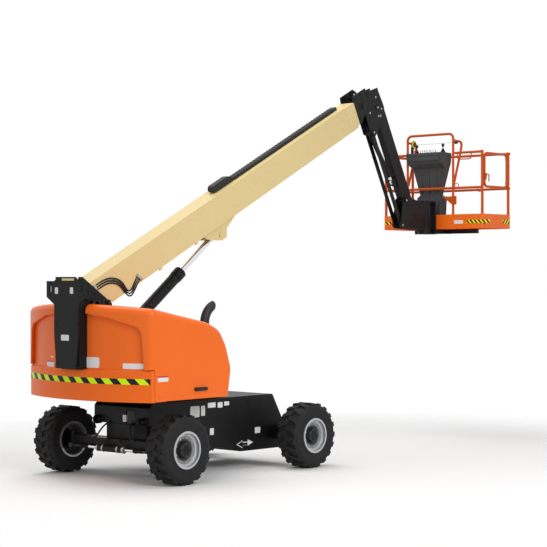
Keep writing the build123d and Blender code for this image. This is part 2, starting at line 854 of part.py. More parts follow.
with BuildPart() as exhaust:
    add(horn)
    add(bore, mode=Mode.SUBTRACT)
    with BuildSketch(Plane.XY.offset(deck_top + weld_gap)):
        with Locations((exhaust_x, exhaust_y)):
            Circle(exhaust_radius)
    extrude(amount=(exhaust_top - deck_top) * 2 / 3)
    with Locations((exhaust_x + exhaust_cut_reach, exhaust_y, exhaust_top)):
        Box(exhaust_horn_reach, 2 * exhaust_radius, exhaust_bend * 2,
            align=(Align.MIN, Align.CENTER, Align.CENTER), mode=Mode.SUBTRACT)
keep("exhaust", exhaust.part)

# Base boom: a box section with a closed tail and a slanted nose
boom_bottom = boom_top - boom_height
with BuildPart() as boom_base:
    with BuildSketch(boom_plane()):
        with BuildLine():
            Polyline(
                (-boom_tail, boom_bottom + pivot_boss_radius),
                (-boom_tail, boom_top - boom_tail),
                (-boom_tail / 3, boom_top),
                (boom_length - boom_nose_cut_length, boom_top),
                (boom_length, boom_top - boom_nose_cut_drop),
                (boom_length, boom_bottom),
                (pivot_boss_radius, boom_bottom),
                close=True,
            )
        make_face()
    extrude(amount=boom_width / 2, both=True)
    with BuildSketch(boom_plane()):
        inner_start = pivot_pin_radius + pivot_boss_radius
        with Locations(((inner_start + boom_length + overrun) / 2, boom_top - boom_height / 2)):
            Rectangle(boom_length + overrun - inner_start, boom_height - 2 * boom_wall)
    extrude(amount=boom_width / 2 - boom_wall, both=True, mode=Mode.SUBTRACT)
    with BuildSketch(boom_plane()):
        Circle(pivot_pin_radius + pin_gap / 2)
    extrude(amount=boom_width, both=True, mode=Mode.SUBTRACT)
    for sign in (-1, 1):
        with BuildSketch(boom_plane(sign * (bracket_inner + bracket_plate / 2))):
            with BuildLine():
                Polyline(
                    (bracket_back, boom_bottom + boom_wall / 2),
                    (bracket_back + bracket_drop / 2, boom_bottom - bracket_drop / 2),
                    (bracket_back + bracket_drop * 3 / 2, boom_bottom - bracket_drop),
                    (bracket_back + bracket_drop * 2, boom_bottom - bracket_drop),
                    (bracket_back + bracket_drop * 9 / 4, boom_bottom - bracket_drop / 2),
                    (bracket_front, boom_bottom + boom_wall / 2),
                    close=True,
                )
            make_face()
        extrude(amount=bracket_plate / 2, both=True)
    with BuildSketch(side_plane(0)):
        with Locations(lift_eye):
            Circle(lift_pin_radius)
    extrude(amount=bracket_inner + bracket_plate * 2, both=True)
keep("boom_base", boom_base.part)

# Hose track on the boom's top: a long tray with a raised loop at its rear end
with BuildPart() as cable_track:
    with BuildSketch(boom_plane()):
        with BuildLine():
            Polyline(
                (track_start + track_loop / 2, boom_top + weld_gap),
                (track_end, boom_top + weld_gap),
                (track_end, boom_top + track_height),
                (track_loop_end, boom_top + track_height),
                (track_loop_end - track_loop, boom_top + track_loop),
                (track_start + track_loop / 2, boom_top + track_loop),
                close=True,
            )
        make_face()
        with Locations((track_start + track_loop / 2, boom_top + weld_gap + track_loop / 2)):
            Circle(track_loop / 2 - weld_gap)
    extrude(amount=track_width / 2, both=True)
keep("cable_track", cable_track.part)

# Fly boom inside the base boom
fly_middle = boom_top - boom_height / 2
with BuildPart() as fly_boom:
    with BuildSketch(boom_plane()):
        with Locations((fly_front - fly_length / 2, fly_middle)):
            Rectangle(fly_length, fly_height)
    extrude(amount=fly_width / 2, both=True)
    with BuildSketch(boom_plane()):
        with Locations((fly_front - fly_length / 2, fly_middle)):
            Rectangle(fly_length + overrun * 2, fly_height - 2 * fly_wall)
    extrude(amount=fly_width / 2 - fly_wall, both=True, mode=Mode.SUBTRACT)
keep("fly_boom", fly_boom.part)

# Wear pads at the mouth of the base boom
with BuildPart() as wear_pads:
    pad_u = boom_length - boom_nose_cut_length - pad_length / 2
    pad_gap_v = (boom_height - 2 * boom_wall - fly_height) / 2
    pad_gap_y = (boom_width - 2 * boom_wall - fly_width) / 2
    for sign in (-1, 1):
        with BuildSketch(boom_plane()):
            with Locations((pad_u, fly_middle + sign * (fly_height / 2 + pad_gap_v / 2))):
                Rectangle(pad_length, pad_gap_v - 2 * weld_gap)
        extrude(amount=fly_width / 3, both=True)
        with BuildSketch(boom_plane(sign * (fly_width / 2 + pad_gap_y / 2))):
            with Locations((pad_u, fly_middle)):
                Rectangle(pad_length, fly_height * 2 / 3)
        extrude(amount=pad_gap_y / 2 - weld_gap, both=True)
keep("wear_pads", wear_pads.part)

# Boom nose: two plates beyond the fly boom's end that carry the level bracket's pin
nose_back = fly_front + nose_plate
with BuildPart() as boom_nose:
    for sign in (-1, 1):
        with BuildSketch(boom_plane(sign * (nose_half - nose_plate / 2))):
            with BuildLine():
                Polyline(
                    (nose_back, nose_low),
                    (nose_back + nose_plate * 3, nose_low),
                    (nose_front - nose_plate * 3, nose_low + nose_step),
                    (nose_front, nose_high),
                    (nose_back + nose_plate, nose_high),
                    (nose_back, nose_high - nose_plate * 3),
                    close=True,
                )
            make_face()
        extrude(amount=nose_plate / 2, both=True)
    with BuildSketch(boom_plane()):
        with Locations((fly_front + weld_gap + nose_plate / 2, fly_middle)):
            Rectangle(nose_plate, fly_height)
    extrude(amount=fly_width / 2, both=True)
    with BuildSketch(boom_plane()):
        with Locations((lifting_eye[0], lifting_eye[1] - lifting_eye_radius)):
            Rectangle(nose_bridge, nose_plate)
    extrude(amount=nose_half - nose_plate / 2, both=True)
    eye_plane = Plane(origin=boom_plane().from_local_coords((lifting_eye[0], lifting_eye[1], 0)),
                      x_dir=(0, 1, 0), z_dir=boom_plane().x_dir)
    with BuildSketch(eye_plane):
        Circle(lifting_eye_radius)
        Circle(lifting_bore_radius, mode=Mode.SUBTRACT)
    extrude(amount=lifting_eye_thickness / 2, both=True)
    with BuildSketch(side_plane(0)):
        with Locations(nose_pivot):
            Circle(jib_pin_radius)
    extrude(amount=nose_half + thin_plate, both=True)
keep("boom_nose", boom_nose.part)

# Lift cylinder: barrel on the upright's pin, rod to the boom's bracket
lift_line = line_plane(lift_base, lift_eye)
lift_length = length_of(lift_base, lift_eye)
lift_across = Plane(origin=lift_line.origin, x_dir=(0, 1, 0), z_dir=lift_line.x_dir)
with BuildPart() as lift_barrel:
    with BuildSketch(lift_line):
        Circle(lift_eye_radius)
    extrude(amount=lift_foot_half, both=True)
    with BuildSketch(lift_across):
        Circle(lift_barrel_radius)
    extrude(amount=lift_barrel_length)
    with BuildSketch(lift_across.offset(lift_barrel_length - lift_gland_length)):
        Circle(lift_gland_radius)
    extrude(amount=lift_gland_length)
    with BuildSketch(lift_across.offset(lift_eye_radius * 2)):
        Circle(lift_rod_radius + pin_gap / 2)
    extrude(amount=lift_barrel_length, mode=Mode.SUBTRACT)
keep("lift_barrel", lift_barrel.part)
with BuildPart() as lift_rod:
    with BuildSketch(lift_across.offset(lift_length - lift_rod_length)):
        Circle(lift_rod_radius)
    extrude(amount=lift_rod_length)
    with BuildSketch(lift_line):
        with Locations((lift_length, 0)):
            Circle(lift_eye_radius)
    extrude(amount=lift_eye_half, both=True)
    with BuildSketch(lift_line):
        with Locations((lift_length, 0)):
            Circle(lift_pin_radius + pin_gap / 2)
    extrude(amount=lift_eye_half * 2, both=True, mode=Mode.SUBTRACT)
keep("lift_rod", lift_rod.part)

# Level bracket: two plates between the boom nose's plates, round the jib linkage
with BuildPart() as level_bracket:
    for sign in (-1, 1):
        with BuildSketch(side_plane(sign * (bracket_half - jib_head_plate / 2))):
            with BuildLine():
                Polyline(
                    (nose_pivot[0] - lug_edge, nose_pivot[1]),
                    (nose_pivot[0], nose_pivot[1] + lug_edge),
                    *head_top_outline,
                    *head_front_outline,
                    (link_root[0] + lug_edge, link_root[1] - lug_edge),
                    (link_root[0] - lug_edge, link_root[1] - lug_edge / 2),
                    (nose_pivot[0] + lug_edge * 2, nose_pivot[1] - lug_edge * 2),
                    (nose_pivot[0], nose_pivot[1] - lug_edge),
                    close=True,
                )
            make_face()
        extrude(amount=jib_head_plate / 2, both=True)
    with BuildSketch(side_plane(0)):
        with Locations(nose_pivot):
            Circle(lug_edge * 3 / 4)
    extrude(amount=bracket_half, both=True)
    with BuildSketch(side_plane(0)):
        with Locations(nose_pivot):
            Circle(jib_pin_radius + pin_gap / 2)
    extrude(amount=bracket_half, both=True, mode=Mode.SUBTRACT)
    with BuildSketch(side_plane(0)):
        with Locations(jib_root):
            Circle(jib_pin_radius)
    extrude(amount=bracket_half + thin_plate, both=True)
    for sign in (-1, 1):
        with BuildSketch(side_plane(sign * (link_inner - overrun / 10))):
            with Locations(link_root):
                Circle(jib_pin_radius)
        extrude(amount=-sign * (bracket_half + thin_plate - link_inner))
keep("level_bracket", level_bracket.part)

# Jib tube with its head plates
jib_end = jib_point(jib_root, jib_pins)
jib_line = line_plane(jib_root, jib_end)
with BuildPart() as jib_tube:
    with BuildSketch(jib_line):
        with Locations(((jib_pins) / 2, jib_depth / 2 - jib_back)):
            Rectangle(jib_pins + jib_head_rise * 2, jib_depth)
    extrude(amount=jib_width / 2, both=True)
    with BuildSketch(jib_line):
        with Locations((0, 0)):
            Rectangle(jib_head_rise * 2 + overrun, jib_depth * 3)
        with Locations((jib_pins, 0)):
            Rectangle(jib_head_rise * 2 + overrun, jib_depth * 3)
    extrude(amount=jib_width / 2 - jib_wall, both=True, mode=Mode.SUBTRACT)
    with BuildSketch(jib_line):
        with Locations((0, 0), (jib_pins, 0)):
            Circle(jib_pin_radius + pin_gap / 2)
    extrude(amount=jib_width, both=True, mode=Mode.SUBTRACT)
    lug_inner = jib_eye_half + pin_gap
    for sign in (-1, 1):
        with BuildSketch(line_plane(jib_root, jib_end, sign * (lug_inner + jib_lug_plate / 2))):
            with BuildLine():
                Polyline(
                    (jib_lug_along - jib_cylinder_radius * 3 / 2, -jib_back),
                    (jib_lug_along - jib_cylinder_radius, -jib_back - jib_lug_off - jib_cylinder_radius),
                    (jib_lug_along + jib_cylinder_radius, -jib_back - jib_lug_off - jib_cylinder_radius),
                    (jib_lug_along + jib_cylinder_radius * 3, -jib_back),
                    close=True,
                )
            make_face()
        extrude(amount=jib_lug_plate / 2, both=True)
    with BuildSketch(jib_line):
        with Locations((jib_lug_along, -jib_back - jib_lug_off)):
            Circle(jib_lug_pin_radius)
    extrude(amount=lug_inner + jib_lug_plate + thin_plate / 2, both=True)
keep("jib_tube", jib_tube.part)

# Level link: two bars, one each side of the jib's cylinder, with spacers
link_end = jib_point(link_root, jib_pins)
with BuildPart() as level_link:
    for sign in (-1, 1):
        way = line_plane(link_root, link_end, sign * (link_inner + link_bar / 2))
        with BuildSketch(way):
            with Locations((jib_pins / 2, 0)):
                SlotOverall(jib_pins + link_depth, link_depth)
            with Locations((0, 0), (jib_pins, 0)):
                Circle(jib_pin_radius + pin_gap / 2, mode=Mode.SUBTRACT)
        extrude(amount=link_bar / 2, both=True)
keep("level_link", level_link.part)

# Platform support: side plates from the jib's foot to the rotator
with BuildPart() as support:
    for sign in (-1, 1):
        with BuildSketch(side_plane(sign * (support_half - support_plate / 2))):
            with BuildLine():
                Polyline(
                    (link_end[0] - support_edge, link_end[1]),
                    (jib_end[0] - support_edge, jib_end[1] + support_edge / 2),
                    (jib_end[0], jib_end[1] + support_edge),
                    (jib_end[0] + support_edge, jib_end[1] + support_edge),
                    (rotator_x, rotator_high - support_edge),
                    (rotator_x, rotator_low + support_edge),
                    (link_end[0] + support_edge, link_end[1] - support_edge),
                    (link_end[0], link_end[1] - support_edge),
                    close=True,
                )
            make_face()
        extrude(amount=support_plate / 2, both=True)
        with BuildSketch(side_plane(sign * (link_inner - overrun / 10))):
            with Locations(link_end):
                Circle(jib_pin_radius)
        extrude(amount=-sign * (support_half - link_inner + overrun / 5))
    with BuildSketch(side_plane(0)):
        with Locations(jib_end):
            Circle(jib_pin_radius)
    extrude(amount=support_half + thin_plate, both=True)
    with BuildSketch(Plane.XY.offset(rotator_low + rotator_flange + pin_gap)):
        with Locations((rotator_x, 0)):
            Circle(rotator_radius)
    extrude(amount=rotator_high - rotator_low - 2 * rotator_flange - 2 * pin_gap)
keep("platform_support", support.part)

# Jib cylinder between the level bracket and the jib tube
jib_lug = jib_point(jib_root, jib_lug_along, -jib_back - jib_lug_off)
jib_cylinder_line = line_plane(link_root, jib_lug)
jib_cylinder_span = length_of(link_root, jib_lug)
jib_cylinder_across = Plane(origin=jib_cylinder_line.origin, x_dir=(0, 1, 0), z_dir=jib_cylinder_line.x_dir)
with BuildPart() as jib_barrel:
    with BuildSketch(jib_cylinder_across):
        Circle(jib_cylinder_radius)
    extrude(amount=jib_cylinder_length)
    with BuildSketch(jib_cylinder_line):
        Circle(jib_cylinder_radius + plate / 4)
    extrude(amount=link_inner - overrun / 4, both=True)
    with BuildSketch(jib_cylinder_across.offset(jib_cylinder_radius * 4 / 3)):
        Circle(jib_rod_radius + pin_gap / 2)
    extrude(amount=jib_cylinder_length, mode=Mode.SUBTRACT)
keep("jib_barrel", jib_barrel.part)
with BuildPart() as jib_rod:
    with BuildSketch(jib_cylinder_across.offset(jib_cylinder_span - jib_rod_length)):
        Circle(jib_rod_radius)
    extrude(amount=jib_rod_length)
    with BuildSketch(jib_cylinder_line):
        with Locations((jib_cylinder_span, 0)):
            Circle(jib_cylinder_radius)
    extrude(amount=jib_eye_half, both=True)
    with BuildSketch(jib_cylinder_line):
        with Locations((jib_cylinder_span, 0)):
            Circle(jib_lug_pin_radius + pin_gap)
    extrude(amount=jib_rod_radius * 2, both=True, mode=Mode.SUBTRACT)
keep("jib_rod", jib_rod.part)

# Platform floor pan with its toe board
rail_inset = post_radius + toe_wall + weld_gap
middle_x = platform_back + platform_depth / 2
with BuildPart() as floor:
    with BuildSketch(Plane.XY.offset(platform_low)):
        with Locations((middle_x, 0)):
            RectangleRounded(platform_depth, 2 * platform_half, post_radius + toe_wall)
    extrude(amount=toe_height)
    with BuildSketch(Plane.XY.offset(platform_low + floor_rise)):
        with Locations((middle_x, 0)):
            RectangleRounded(platform_depth - 2 * toe_wall, 2 * (platform_half - toe_wall), post_radius)
    extrude(amount=toe_height, mode=Mode.SUBTRACT)
    with BuildSketch(Plane.XY.offset(platform_low)):
        with Locations((middle_x, 0)):
            RectangleRounded(platform_depth - 2 * toe_wall, 2 * (platform_half - toe_wall), post_radius)
    extrude(amount=floor_rise - floor_thickness, mode=Mode.SUBTRACT)
keep("platform_floor", floor.part)

# Platform beam under the floor, from the rotator's flanges
with BuildPart() as beam:
    for level in (rotator_low, rotator_high - rotator_flange):
        with BuildSketch(Plane.XY.offset(level)):
            with Locations((rotator_x, 0)):
                Circle(rotator_radius)
            with Locations((rotator_x + rotator_radius, 0)):
                Rectangle(rotator_radius * 2, rotator_radius * 2)
        extrude(amount=rotator_flange)
    with Locations((rotator_x + rotator_radius * 2 - plate, 0, (rotator_low + rotator_high) / 2)):
        Box(plate * 2, rotator_radius * 2, rotator_high - rotator_low)
    with Locations(((rotator_x + middle_x) / 2 + rotator_radius, 0, platform_low - weld_gap - beam_size / 2)):
        Box(middle_x - rotator_x, beam_size, beam_size)
    with Locations((middle_x, 0, platform_low - weld_gap - beam_size / 2)):
        Box(beam_size, platform_half * 5 / 4, beam_size)
keep("platform_beam", beam.part)

# Platform rails: posts and rails, with the gate's opening at the right end
floor_top = platform_low + floor_rise + weld_gap
post_y = platform_half - rail_inset
post_x = (platform_back + rail_inset, platform_back + platform_depth - rail_inset)
rail_runs = [
    ((post_x[0], post_y, rail_mid), (post_x[0], -post_y, rail_mid)),
    ((post_x[0], -post_y, rail_top), (post_x[0], -guard_half_right, rail_top)),
    ((post_x[0], guard_half_left, rail_top), (post_x[0], post_y, rail_top)),
]
for level in (rail_mid, rail_top):
    rail_runs.append(((post_x[0], post_y, level), (post_x[1], post_y, level)))
    rail_runs.append(((post_x[1], post_y, level), (post_x[1], -post_y - rail_stub, level)))
guard_run = [
    (post_x[0], -guard_half_right, floor_top),
    (post_x[0], -guard_half_right, guard_top),
    (post_x[0], guard_half_left, guard_top),
    (post_x[0], guard_half_left, floor_top),
]
grab_run = [
    (post_x[0], grab_y[0], rail_top),
    (post_x[0], grab_y[0], grab_low),
    (post_x[0], grab_y[1], grab_low),
    (post_x[0], grab_y[1], rail_top),
]
with BuildPart() as rails:
    for x in post_x:
        for y in (-post_y, post_y):
            with BuildSketch(Plane.XY.offset(floor_top)):
                with Locations((x, y)):
                    Circle(post_radius)
            extrude(amount=rail_top + post_radius - floor_top)
    for run in rail_runs:
        add(tube(run, rail_radius, rail_radius))
    add(tube(guard_run, rail_radius, guard_bend))
    add(tube(grab_run, grab_radius, grab_bend))
    for y in (-guard_half_right, guard_half_left):
        loop_run = [(post_x[0], y, guard_loop_start - guard_bend)] + [(x, y, z) for x, z in guard_loop]
        add(tube(loop_run, rail_radius - pin_gap, loop_bend))
keep("platform_rails", rails.part)

# Gate at the right end: a rounded frame hinged on its own bar beside the front post
gate_x0 = post_x[0] + post_radius + rail_radius + gate_gap
gate_x1 = post_x[1] - post_radius - rail_radius - weld_gap
with BuildPart() as gate:
    with BuildLine() as gate_way:
        FilletPolyline(
            (gate_x1, -post_y, gate_low),
            (gate_x1, -post_y, gate_high),
            (gate_x0, -post_y, gate_high),
            (gate_x0, -post_y, gate_low),
            radius=gate_bend,
            close=True,
        )
    with BuildSketch(Plane(origin=gate_way.line @ 0, z_dir=gate_way.line % 0)):
        Circle(rail_radius)
    sweep()
keep("gate", gate.part)

# Control console: a tapering pedestal under a wide tray
console_rows = list(console_sections.values())
with BuildPart() as console:
    for lower, upper in zip(console_rows, console_rows[1:]):
        for level, back, front, half in (lower, upper):
            with BuildSketch(Plane.XY.offset(level)):
                with Locations(((back + front) / 2, console_centre_y)):
                    RectangleRounded(front - back, half * 2, console_rounding)
        loft()
    extrude(console.faces().sort_by(Axis.Z)[-1], amount=console_lid)
    fillet(console.faces().sort_by(Axis.Z)[-1].edges(), console_lid / 2)
keep("console", console.part)

os.makedirs("parts", exist_ok=True)
for name, part in pieces.items():
    part.label = name
    export_step(part, f"parts/{name}.step")
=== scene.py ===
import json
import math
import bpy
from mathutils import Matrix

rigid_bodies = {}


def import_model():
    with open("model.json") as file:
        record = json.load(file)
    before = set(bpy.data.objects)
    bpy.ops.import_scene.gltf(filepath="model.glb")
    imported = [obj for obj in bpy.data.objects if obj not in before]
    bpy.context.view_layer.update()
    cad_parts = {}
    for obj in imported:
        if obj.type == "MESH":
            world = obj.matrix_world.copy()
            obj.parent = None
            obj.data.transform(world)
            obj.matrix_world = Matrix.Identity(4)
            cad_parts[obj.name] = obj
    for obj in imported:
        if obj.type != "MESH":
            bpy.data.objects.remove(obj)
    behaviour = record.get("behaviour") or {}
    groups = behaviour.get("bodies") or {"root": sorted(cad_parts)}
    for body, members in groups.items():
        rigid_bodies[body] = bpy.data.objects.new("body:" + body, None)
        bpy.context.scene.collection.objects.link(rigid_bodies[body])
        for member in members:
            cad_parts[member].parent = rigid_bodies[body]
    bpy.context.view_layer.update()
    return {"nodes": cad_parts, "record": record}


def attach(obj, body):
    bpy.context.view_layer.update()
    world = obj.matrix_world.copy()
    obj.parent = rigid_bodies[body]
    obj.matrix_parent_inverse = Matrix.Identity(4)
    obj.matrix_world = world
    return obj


bl_info = {
    "name": "Telescopic boom lift dressing",
    "version": (1, 0, 0),
    "blender": (4, 5, 0),
    "location": "3D View > Sidebar > Boom lift",
    "description": "Paints the packed boom lift and adds its fittings, plates and stage",
    "category": "Object",
}

from functools import partial

import bmesh
import bpy
from mathutils import Matrix, Vector
from mathutils.bvhtree import BVHTree

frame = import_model()

# Lengths are in metres. The frame's X = 0 is the middle of the machine; the slew axis lies behind it,
# and the X values further down are taken from that axis, by at().
SLEW_X = -1.9995
CAMERA_PLACE = Vector((-14.879 + SLEW_X, -14.644, 2.502))
CAMERA_YAW = math.radians(41.522)
FOCAL_PIXELS = 1630.86
PHOTO_SIZE = 547
BOOM_LEAN = math.radians(26.98)
JIB_LEAN = math.radians(-62.5)
JIB_LENGTH = 1.494
PIVOT = Vector((-1.9 + SLEW_X, 0.0, 2.225))
AXLE_X = {"front": 1.17 + SLEW_X, "rear": -1.17 + SLEW_X}
TYRE_RADIUS = 0.419
WHEEL_FACE = 1.155
CHASSIS_HALF = 0.49
CHASSIS_BACK = -1.15
UPRIGHT_BACK = -2.046
TRACK_START, TRACK_END, TRACK_FOOT = 3.17, 5.47, 0.104
HOSE_PITCH = 0.030
HOSE_WAY = ((-1.751, 2.306), (-1.525, 2.424), (-1.33, 2.405), (-1.163, 2.216), (-0.99, 2.476))
STEER_ROD_X, STEER_ROD_Z = -1.323, 0.3693
RAIL_MIDDLE = 3.79
RAIL_X = 5.3263
TOE_BOARD_BACK, TOE_BOARD_FRONT = 5.3, 6.045
CONSOLE_Y, CONSOLE_TOP = 0.107, 4.335
LINE_X, LINE_Z = 5.43, 4.49
GATE_Y = -0.9
STICKER_COLUMNS, STICKER_ROWS, STICKER_CORNER = 8, 3, 0.054

SIDES = {"left": 1, "right": -1}
UP, AHEAD, BACK, LEFT, RIGHT = (0, 0, 1), (1, 0, 0), (-1, 0, 0), (0, 1, 0), (0, -1, 0)
FINISHES = {}
TREES = {}


def at(x, y, z):
    """A point given from the slew axis, as a vector in the frame."""
    return Vector((x + SLEW_X, y, z))


def boom_at(along, side, up):
    """A point in the boom's own directions: out from the pivot pin, to the left, up."""
    cos, sin = math.cos(BOOM_LEAN), math.sin(BOOM_LEAN)
    return PIVOT + Vector((along * cos - up * sin, side, along * sin + up * cos))


def boom_frame(along, side, up):
    """Axes at a point of the boom, the first one along it."""
    return Matrix.Translation(boom_at(along, side, up)) @ Matrix.Rotation(-BOOM_LEAN, 4, "Y")


def facing(centre, out, up=UP):
    """Axes at centre: local Z points out, local Y is as near to up as it can be."""
    z_axis = Vector(out).normalized()
    x_axis = Vector(up).cross(z_axis)
    if x_axis.length < 1e-4:
        x_axis = Vector(LEFT).cross(z_axis)
    x_axis.normalize()
    turned = Matrix((x_axis, z_axis.cross(x_axis), z_axis)).transposed().to_4x4()
    return Matrix.Translation(centre) @ turned


# ---------------------------------------------------------------- sizes and colours

Colour = partial(bpy.props.FloatVectorProperty, subtype="COLOR", size=3)
Length = partial(bpy.props.FloatProperty, unit="LENGTH")
Power = partial(bpy.props.FloatProperty, unit="POWER")


class BOOM_PG_colours(bpy.types.PropertyGroup):
    """Colours of the machine's paints and plastics"""

    orange: Colour(name="Orange paint", description="Hoods, covers, counterweight and platform",
                   default=(0.88, 0.15, 0.012))
    rail: Colour(name="Rail paint", description="Platform rails and gate", default=(0.56, 0.080, 0.006))
    cream: Colour(name="Cream paint", description="Boom sections", default=(0.76, 0.60, 0.29))
    black: Colour(name="Black paint", description="Chassis, axles, upright, jib and cylinders",
                  default=(0.0062, 0.0062, 0.0066))
    rubber: Colour(name="Rubber", description="Tyres", default=(0.0135, 0.0135, 0.014))
    silver: Colour(name="Rim silver", description="Wheel rims", default=(0.50, 0.51, 0.53))
    console: Colour(name="Console grey", description="Moulded control console",
                    default=(0.047, 0.049, 0.049))
    hazard: Colour(name="Hazard yellow", description="Yellow of the counterweight's stripes",
                   default=(0.62, 0.90, 0.005))


class BOOM_PG_sizes(bpy.types.PropertyGroup):
    """Sizes of the added fittings"""

    nut_count: bpy.props.IntProperty(name="Wheel nuts", description="Nuts on each rim", default=9, min=3)
    nut_circle: Length(name="Nut circle", description="Radius of the circle of wheel nuts", default=0.150)
    nut_radius: Length(name="Nut radius", description="Radius over a wheel nut's corners", default=0.015)
    bolt_radius: Length(name="Bolt radius", description="Radius over the upright's bolt heads", default=0.012)
    link_pitch: Length(name="Track pitch", description="Distance between the hose track's links",
                       default=0.062)
    tread_pitch: Length(name="Tread pitch", description="Distance between the floor's raised studs",
                        default=0.038)
    plate_thickness: Length(name="Plate thickness", description="Thickness of the blank plates",
                            default=0.0008)
    stripe_pitch: Length(name="Stripe pitch", description="Length of one yellow and one black stripe",
                         default=0.214)


class BOOM_PG_stage(bpy.types.PropertyGroup):
    """Lamps and floor"""

    key_power: Power(name="Key power", description="Power of the large soft lamp by the camera",
                     default=1700.0)
    fill_power: Power(name="Fill power", description="Power of the soft lamp on the right", default=300.0)
    top_power: Power(name="Top power", description="Power of the soft lamp overhead", default=1100.0)
    sky: bpy.props.FloatProperty(name="Sky", description="Strength of the even light from all round",
                                 default=0.42)


# ---------------------------------------------------------------- node expressions


class Value:
    """A socket that adds Math nodes when it is used in a sum."""

    def __init__(self, nodes, socket):
        self.nodes = nodes
        self.socket = socket

    def __add__(self, other):
        return self.nodes.math("ADD", self, other)

    def __sub__(self, other):
        return self.nodes.math("SUBTRACT", self, other)

    def __rsub__(self, other):
        return self.nodes.math("SUBTRACT", other, self)

    def __mul__(self, other):
        return self.nodes.math("MULTIPLY", self, other)

    def __truediv__(self, other):
        return self.nodes.math("DIVIDE", self, other)

    __radd__ = __add__
    __rmul__ = __mul__


class Nodes:
    """Adds nodes to one node tree."""

    def __init__(self, tree):
        self.tree = tree
        tree.nodes.clear()

    def node(self, kind, settings=None, inputs=None):
        """Any node: its settings first, then a value or a link for each named socket."""
        made = self.tree.nodes.new(kind)
        for key, value in (settings or {}).items():
            setattr(made, key, value)
        for key, value in (inputs or {}).items():
            socket = made.inputs[key]
            value = value.socket if isinstance(value, Value) else value
            if isinstance(value, bpy.types.NodeSocket):
                self.tree.links.new(value, socket)
            elif hasattr(socket.default_value, "__len__") and not hasattr(value, "__len__"):
                socket.default_value = [value] * len(socket.default_value)
            elif socket.type == "RGBA" and len(value) == 3:
                socket.default_value = (*value, 1.0)
            else:
                socket.default_value = value
        return made

    def math(self, operation, *values):
        made = self.node("ShaderNodeMath", {"operation": operation}, dict(enumerate(values)))
        return Value(self, made.outputs[0])


class Finish(Nodes):
    """One material, with a Principled shader whose sockets take expressions."""

    def __init__(self, name, metallic=0.0, coat=0.0, specular=0.5):
        self.material = bpy.data.materials.new(name)
        self.material.use_nodes = True
        super().__init__(self.material.node_tree)
        self.shader = self.node("ShaderNodeBsdfPrincipled", {}, {
            "Metallic": metallic, "Coat Weight": coat, "Coat Roughness": 0.08,
            "Specular IOR Level": specular})
        self.node("ShaderNodeOutputMaterial", {}, {"Surface": self.shader.outputs[0]})
        place = self.node("ShaderNodeTexCoord").outputs["Object"]
        self.place = Value(self, place)
        parts = self.node("ShaderNodeSeparateXYZ", {}, {"Vector": place})
        self.x, self.y, self.z = [Value(self, part) for part in parts.outputs]

    def noise(self, scale, detail=3.0, roughness=0.5, stretch=(1.0, 1.0, 1.0)):
        """Smooth random values from 0 to 1, with spots of about 1 / scale metres."""
        mapped = self.node("ShaderNodeMapping", {}, {"Vector": self.place, "Scale": stretch})
        made = self.node("ShaderNodeTexNoise", {}, {
            "Vector": mapped.outputs[0], "Scale": scale, "Detail": detail, "Roughness": roughness})
        return Value(self, made.outputs[0])

    def fade(self, value, start, end):
        """0 where value is at start, 1 where it is at end, smooth between."""
        made = self.node("ShaderNodeMapRange", {"interpolation_type": "SMOOTHSTEP"}, {
            "Value": value, "From Min": start, "From Max": end, "To Min": 0.0, "To Max": 1.0})
        return Value(self, made.outputs[0])

    def size_of(self, value):
        return self.math("ABSOLUTE", value)

    def near(self, value, centre, half, soft):
        """1 where value is within half of centre, fading out over soft."""
        return self.fade(self.size_of(value - centre), half + soft, half)

    def mix(self, share, first, second):
        """Colour that goes from first to second as share goes from 0 to 1."""
        made = self.node("ShaderNodeMix", {"data_type": "RGBA", "clamp_factor": True}, {
            0: share, 6: first, 7: second})
        return Value(self, made.outputs[2])

    def set(self, socket, value):
        self.tree.links.new(value.socket, self.shader.inputs[socket])

    def surface(self, colour, roughness, height, strength, distance):
        """Sets the colour, the roughness and a bump that follows height."""
        self.set("Base Color", colour)
        self.set("Roughness", roughness)
        made = self.node("ShaderNodeBump", {}, {
            "Height": height, "Strength": strength, "Distance": distance})
        self.set("Normal", Value(self, made.outputs[0]))
        return self

    def over(self, share, colour):
        """Lays another colour over the base colour."""
        base = self.shader.inputs["Base Color"].links[0].from_socket
        self.set("Base Color", self.mix(share, Value(self, base), colour))


def darker(colour, share):
    return tuple(part * share for part in colour)


# ---------------------------------------------------------------- finishes


def paint(name, colour, roughness=0.3, coat=0.0, dust=0.25, dust_colour=(0.30, 0.25, 0.19),
          peel=0.12, metallic=0.0, scuff=0.3, specular=0.22):
    """Sprayed paint: slow colour drift, fine peel, scuffs, and dust that gathers low down."""
    made = Finish(name, metallic, coat, specular)
    drift = made.noise(0.9, 3.0)
    fine = made.noise(46.0, 4.0, 0.6)
    cloud = made.noise(7.0, 5.0, 0.62)
    marks = made.fade(made.noise(23.0, 6.0, 0.7, (1.0, 1.0, 0.25)), 0.62, 0.74)
    low = made.fade(made.z, 1.25, 0.25)
    dirt = made.fade(cloud, 0.48, 0.78) * (low * 0.75 + 0.12) * dust
    base = made.mix(drift, darker(colour, 0.93), darker(colour, 1.05))
    base = made.mix(marks * (0.16 * scuff), base, darker(dust_colour, 0.9))
    shine = fine * 0.10 + dirt * 0.45 + marks * (0.12 * scuff) + (roughness - 0.05)
    return made.surface(made.mix(dirt, base, dust_colour), shine,
                        made.noise(320.0, 2.0) + cloud * 0.6, peel, 0.0006)


